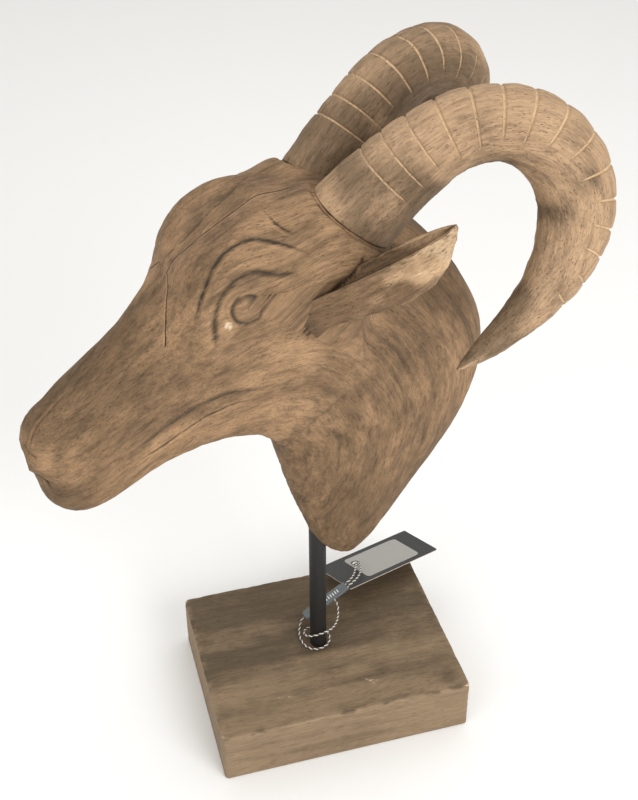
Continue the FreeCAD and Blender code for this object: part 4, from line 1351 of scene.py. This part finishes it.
    def seal_marks(self) -> bpy.types.Object:
        """A plain row of small raised bars on the seal, alike and evenly spaced."""
        along, across, out, _ = self.seal_axes()
        start = STAND.from_rod_foot(np.array(self.seal_start))
        half = np.array([0.45, 1.9, 0.12])
        signs = np.array([[x, y, z] for z in (-1, 1) for y in (-1, 1) for x in (-1, 1)], float)
        cube = np.array([[0, 1, 3, 2], [4, 6, 7, 5], [0, 4, 5, 1], [2, 3, 7, 6], [0, 2, 6, 4], [1, 5, 7, 3]])
        points, faces = [], []
        for k in range(11):
            middle = start + along * (10.0 + 2.1 * k) + out * (self.seal_thickness / 2 - 0.24)
            corners = signs * half * np.where(signs[:, 2:] > 0, 0.86, 1.0)
            points.append(middle + corners @ np.stack([along, across, out]))
            faces.append(cube + 8 * k)
        return mesh_object("tag_seal_marks", np.vstack(points), [np.vstack(faces)])

    def knot(self) -> bpy.types.Object:
        """The stopper knot: a three-lobed loop that goes over and under itself, drawn tight and flat."""
        turn = circle(180)
        radius = 1.02 + 0.45 * np.cos(3.0 * turn)
        lift = 0.42 * np.sin(3.0 * turn)
        loop = np.stack([radius * np.cos(2.0 * turn), radius * np.sin(2.0 * turn), lift], -1)
        path = self.on_card(loop + np.array([*self.hole, -self.knot_clearance - self.knot_drop]))
        tangents = rows_of(np.roll(path, -1, axis=0) - np.roll(path, 1, axis=0))
        normal = self.axes()[2]
        first = rows_of(normal - (tangents @ normal)[:, None] * tangents)
        points = path[:, None] + spokes(first, np.cross(tangents, first), self.knot_sides) * self.knot_yarn
        return mesh_object("tag_knot_tied", points.reshape(-1, 3), [looped_faces(*points.shape[:2])])


@dataclass(frozen=True)
class TwistedCord:
    """A two-yarn cord along a route: a smooth spline gives its centreline, and the yarns wind round it."""

    name: str
    route: tuple[tuple[float, float, float], ...]
    diameter: float = 1.5
    pitch: float = 4.2
    step: float = 0.28
    sides: int = 9

    def centreline(self) -> np.ndarray:
        """Points of the route's own spline, close together, in millimetres."""
        data = bpy.data.curves.new(self.name + "_route", "CURVE")
        data.dimensions = "3D"
        spline = data.splines.new("NURBS")
        spline.points.add(len(self.route) - 1)
        for point, place in zip(spline.points, self.route):
            point.co = (*(c * MM for c in place), 1.0)
        spline.order_u = 3
        spline.use_endpoint_u = True
        spline.resolution_u = 24
        holder = bpy.data.objects.new(self.name + "_route", data)
        link(holder)
        bpy.context.view_layer.update()
        line = bpy.data.meshes.new_from_object(holder)
        points = np.zeros(len(line.vertices) * 3, np.float32)
        line.vertices.foreach_get("co", points)
        bpy.data.objects.remove(holder)
        bpy.data.meshes.remove(line)
        points = points.reshape(-1, 3).astype(float) / MM
        run = run_of(points)
        wanted = np.linspace(0.0, run[-1], int(run[-1] / self.step) + 2)
        return np.stack([np.interp(wanted, run, points[:, k]) for k in range(3)], -1)

    def build(self) -> tuple[bpy.types.Object, np.ndarray]:
        """Make the cord and give its centreline.

        The first direction across the path is carried along it without turning, by taking off at each point
        what has come to lie along the path. Each yarn's middle stands off the centreline and turns steadily.
        """
        path = self.centreline()
        tangents = rows_of(np.gradient(path, axis=0))
        across = np.cross(tangents[0], [0.0, 0.0, 1.0])
        carried = []
        for tangent in tangents:
            across = rows_of(across - tangent * (across @ tangent))
            carried.append(across)
        first = np.array(carried)
        second = np.cross(tangents, first)
        run = run_of(path)
        yarn = self.diameter * 0.29
        points, quads, caps = [], [], []
        for k in (0, 1):
            turn = 2.0 * np.pi * run / self.pitch + math.pi * k
            way = first * np.cos(turn)[:, None] + second * np.sin(turn)[:, None]
            middle = path + way * self.diameter * 0.205
            rings = middle[:, None] + spokes(first, second, self.sides) * yarn
            offset = sum(len(p) for p in points)
            points.append(np.vstack([rings.reshape(-1, 3), middle[:1], middle[-1:]]))
            quads.append(grid_faces(len(path), self.sides, offset))
            caps.append(fans(len(path), self.sides, offset))
        made = mesh_object(self.name, np.vstack(points), [np.vstack(quads), np.vstack(caps)])
        kinds = np.concatenate([np.repeat((0, 1), [len(f) for f in faces]) for faces in (quads, caps)])
        made.data.polygons.foreach_set("material_index", kinds.astype(np.int32))
        return made, path


ROD_CORD = TwistedCord("rod_cord_twisted", tuple(
    tuple(float(c) for c in STAND.from_rod_foot(np.array(point))) for point in (
        (-4.3, 22.5, 4.6), (-7.2, 20.9, 3.4), (-9.8, 16.0, 2.4), (-11.9, 9.8, 1.8), (-12.4, 3.2, 1.5),
        (-10.6, -3.6, 1.4), (-6.2, -8.2, 1.4), (0.2, -9.0, 1.6), (6.0, -6.8, 2.3), (9.0, -1.2, 3.4),
        (7.4, 5.6, 4.8), (1.6, 9.2, 6.2), (-5.2, 8.2, 7.8), (-10.0, 3.4, 9.8), (-10.9, -3.0, 12.4),
        (-7.2, -7.9, 15.0), (-0.9, -9.0, 16.7), (5.4, -7.9, 16.9), (10.6, -4.1, 15.5), (14.7, 1.7, 14.0),
        (17.6, 7.8, 13.2), (19.4, 13.6, 13.4), (20.1, 18.6, 15.5), (19.35, 22.9, 15.2),
    )
))


def strand(tag: SwingTag, side: int) -> TwistedCord:
    """One strand from the seal's upper end, over the card and down its hole.

    Args:
        tag: gives the seal's and the card's places.
        side: 1 for the strand nearer the viewer, -1 for the other.

    Returns:
        The cord, not yet built.
    """
    spacing = 1.8
    along, across = tag.seal_axes()[:2]
    start = STAND.from_rod_foot(np.array(tag.seal_end)) + across * (side * spacing)
    shift = side * spacing / 2.0
    hole = tag.hole
    over = tag.on_card(np.array([
        (-32.5 + shift, -13.0 - 2.0 * side, 4.4),
        (-25.2 + 1.6 * shift, -6.4 - 1.6 * side, 4.2),
        (hole[0] + shift * 1.1, hole[1] - 2.4, 3.4),
        (hole[0] + shift, hole[1], -tag.knot_clearance),
    ]))
    route = np.vstack([start, start + along * 4.5, over])
    name = "card_cord_near_twisted" if side > 0 else "card_cord_far_twisted"
    return TwistedCord(name, tuple(tuple(float(c) for c in point) for point in route))


# ---------------------------------------------------------------- studio
@dataclass(frozen=True)
class Studio:
    """A pale floor, soft lights and the camera."""

    camera_place: tuple[float, float, float] = (-0.173757, -0.621462, 0.733423)
    azimuth: float = -15.518
    elevation: float = 36.179
    roll: float = -0.381
    lens: float = 56.665
    sensor: float = 36.0
    floor_reach: float = 4000.0
    floor_drop: float = 0.05

    def facing(self, way: Vector) -> Matrix:
        """The turn that points a camera or a lamp that way."""
        return way.to_track_quat("-Z", "Y").to_matrix().to_4x4()

    def camera(self) -> None:
        """Place the camera by its azimuth, elevation and roll, and make it the scene's."""
        a, e = math.radians(self.azimuth), math.radians(self.elevation)
        back = Vector((math.sin(a) * math.cos(e), -math.cos(a) * math.cos(e), math.sin(e)))
        roll = Matrix.Rotation(math.radians(self.roll), 4, "Z")
        data = bpy.data.cameras.new("camera")
        data.lens, data.sensor_width = self.lens, self.sensor
        data.clip_start, data.clip_end = 0.01, 50.0
        obj = bpy.data.objects.new("camera", data)
        obj.matrix_world = Matrix.Translation(self.camera_place) @ self.facing(-back) @ roll
        link(obj)
        bpy.context.scene.camera = obj

    def area(self, name: str, place: Sequence[float], height: float, size: float, power: float) -> None:
        """One square area light that faces the object's upright axis at that height."""
        data = bpy.data.lights.new(name, "AREA")
        data.size, data.energy = size, power
        obj = bpy.data.objects.new(name, data)
        obj.matrix_world = Matrix.Translation(place) @ self.facing(Vector((0.0, 0.0, height)) - Vector(place))
        link(obj)

    def build(self) -> None:
        """Make the floor, the lights and the sky, and set plain colour handling."""
        scene = bpy.context.scene
        scene.view_settings.view_transform = "Standard"
        scene.view_settings.look = "None"
        world = bpy.data.worlds.new("soft_sky")
        world.use_nodes = True
        background = world.node_tree.nodes["Background"]
        background.inputs["Color"].default_value = (1.0, 0.99, 0.97, 1.0)
        background.inputs["Strength"].default_value = 0.75
        scene.world = world
        self.area("key", (0.55, -1.35, 0.95), height=0.22, size=0.9, power=16.0)
        self.area("fill", (-1.2, -0.9, 0.9), height=0.25, size=1.2, power=5.0)
        self.area("top", (0.2, 0.4, 1.6), height=0.2, size=1.2, power=5.0)
        s = Shader("pale_floor")
        here = s.object_place()
        tone = s.mix(s.noise(here, 1.5, 2.0) * 0.2, (0.93, 0.93, 0.92), (0.90, 0.90, 0.89))
        corners = np.array([(-1, -1, 0), (1, -1, 0), (1, 1, 0), (-1, 1, 0)]) * self.floor_reach
        corners[:, 2] -= self.floor_drop
        floor = mesh_object("floor", corners, [np.array([[0, 1, 2, 3]])])
        floor.data.materials.append(s.surface({"Base Color": tone, "Roughness": 0.9}, None, 0.0))


def put(
    obj: bpy.types.Object, body: str, nodes: Sequence[str], slot: str, *finishes: bpy.types.Material
) -> None:
    """Dress a piece, let it ride on its body and hide the plain solids that it stands for.

    Args:
        obj: the piece.
        body: the body that it rides on.
        nodes: plain solids that it replaces, if any.
        slot: the material slot's name; not used.
        finishes: its materials, in order.
    """
    for finish in finishes:
        obj.data.materials.append(finish)
    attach(obj, body)
    if nodes:
        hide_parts(*nodes)
    log.info("%s rides on %s, %d faces", obj.name, body, len(obj.data.polygons))


def dress_node(name: str, finish: bpy.types.Material) -> None:
    """Give a plain solid that stays in view its finish."""
    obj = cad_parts[name]
    obj.data.materials.clear()
    obj.data.materials.append(finish)
    log.info("%s keeps its shape", name)


def main() -> None:
    """Build the studio and then each sub-assembly, in order."""
    logging.basicConfig(level=logging.INFO, format="%(name)s: %(message)s")
    studio = Studio()
    studio.camera()
    tag = SwingTag()
    white, grey = WHITE_YARN.build(), GREY_YARN.build()
    seal = tag.seal()
    put(seal, "tag", ["tag_seal"], "seal_plastic", SEAL_PLASTIC.build())
    marks = tag.seal_marks()
    put(marks, "tag", [], "seal_plastic", SEAL_MARK.build())
    knot = tag.knot()
    put(knot, "tag", ["tag_knot"], "cord_white", white)
    edge = CARD_EDGE.build()
    card = tag.plate("swing_card_cut", (tag.length, tag.width), 0.0, 0.0, tag.thickness, 0.0, tag.hole_radius)
    put(card, "card", ["swing_card"], "card_grey", CARD_FACE.build(), edge)
    label = tag.plate(
        "price_sticker_stuck", tag.label, tag.label_along, tag.thickness, tag.thickness + tag.label_thickness,
        tag.label_round, tag.hole_radius + 1.0,
    )
    put(label, "card", ["price_sticker"], "sticker_paper", LABEL_PAPER.build(), edge)
    rod_cord, line = ROD_CORD.build()
    put(rod_cord, "tag", ["rod_cord"], "cord_white", white, grey)
    for side, node in ((1, "card_cord_near"), (-1, "card_cord_far")):
        cord = strand(tag, side)
        piece, line = cord.build()
        put(piece, "tag", [node], "cord_white", white, grey)
    studio.build()
    put(Base().build(), "stand", ["base_block"], "base_wood", BASE_WOOD.build())
    dress_node("rod", ROD_PAINT.build())
    head_wood, horn_wood, ear_wood = HEAD_WOOD.build(), HORN_WOOD.build(), EAR_WOOD.build()
    put(Head().build(), "head", ["head"], "head_wood", head_wood)
    for side, word in ((1, "left"), (-1, "right")):
        put(Horn(side).build(), "head", [word + "_horn"], "horn_wood", horn_wood)
        put(Ear(side).build(), "head", [word + "_ear"], "ear_wood", ear_wood)
    dress_node("horn_dowels", DOWEL_WOOD.build())


if __name__ == "__main__":
    main()
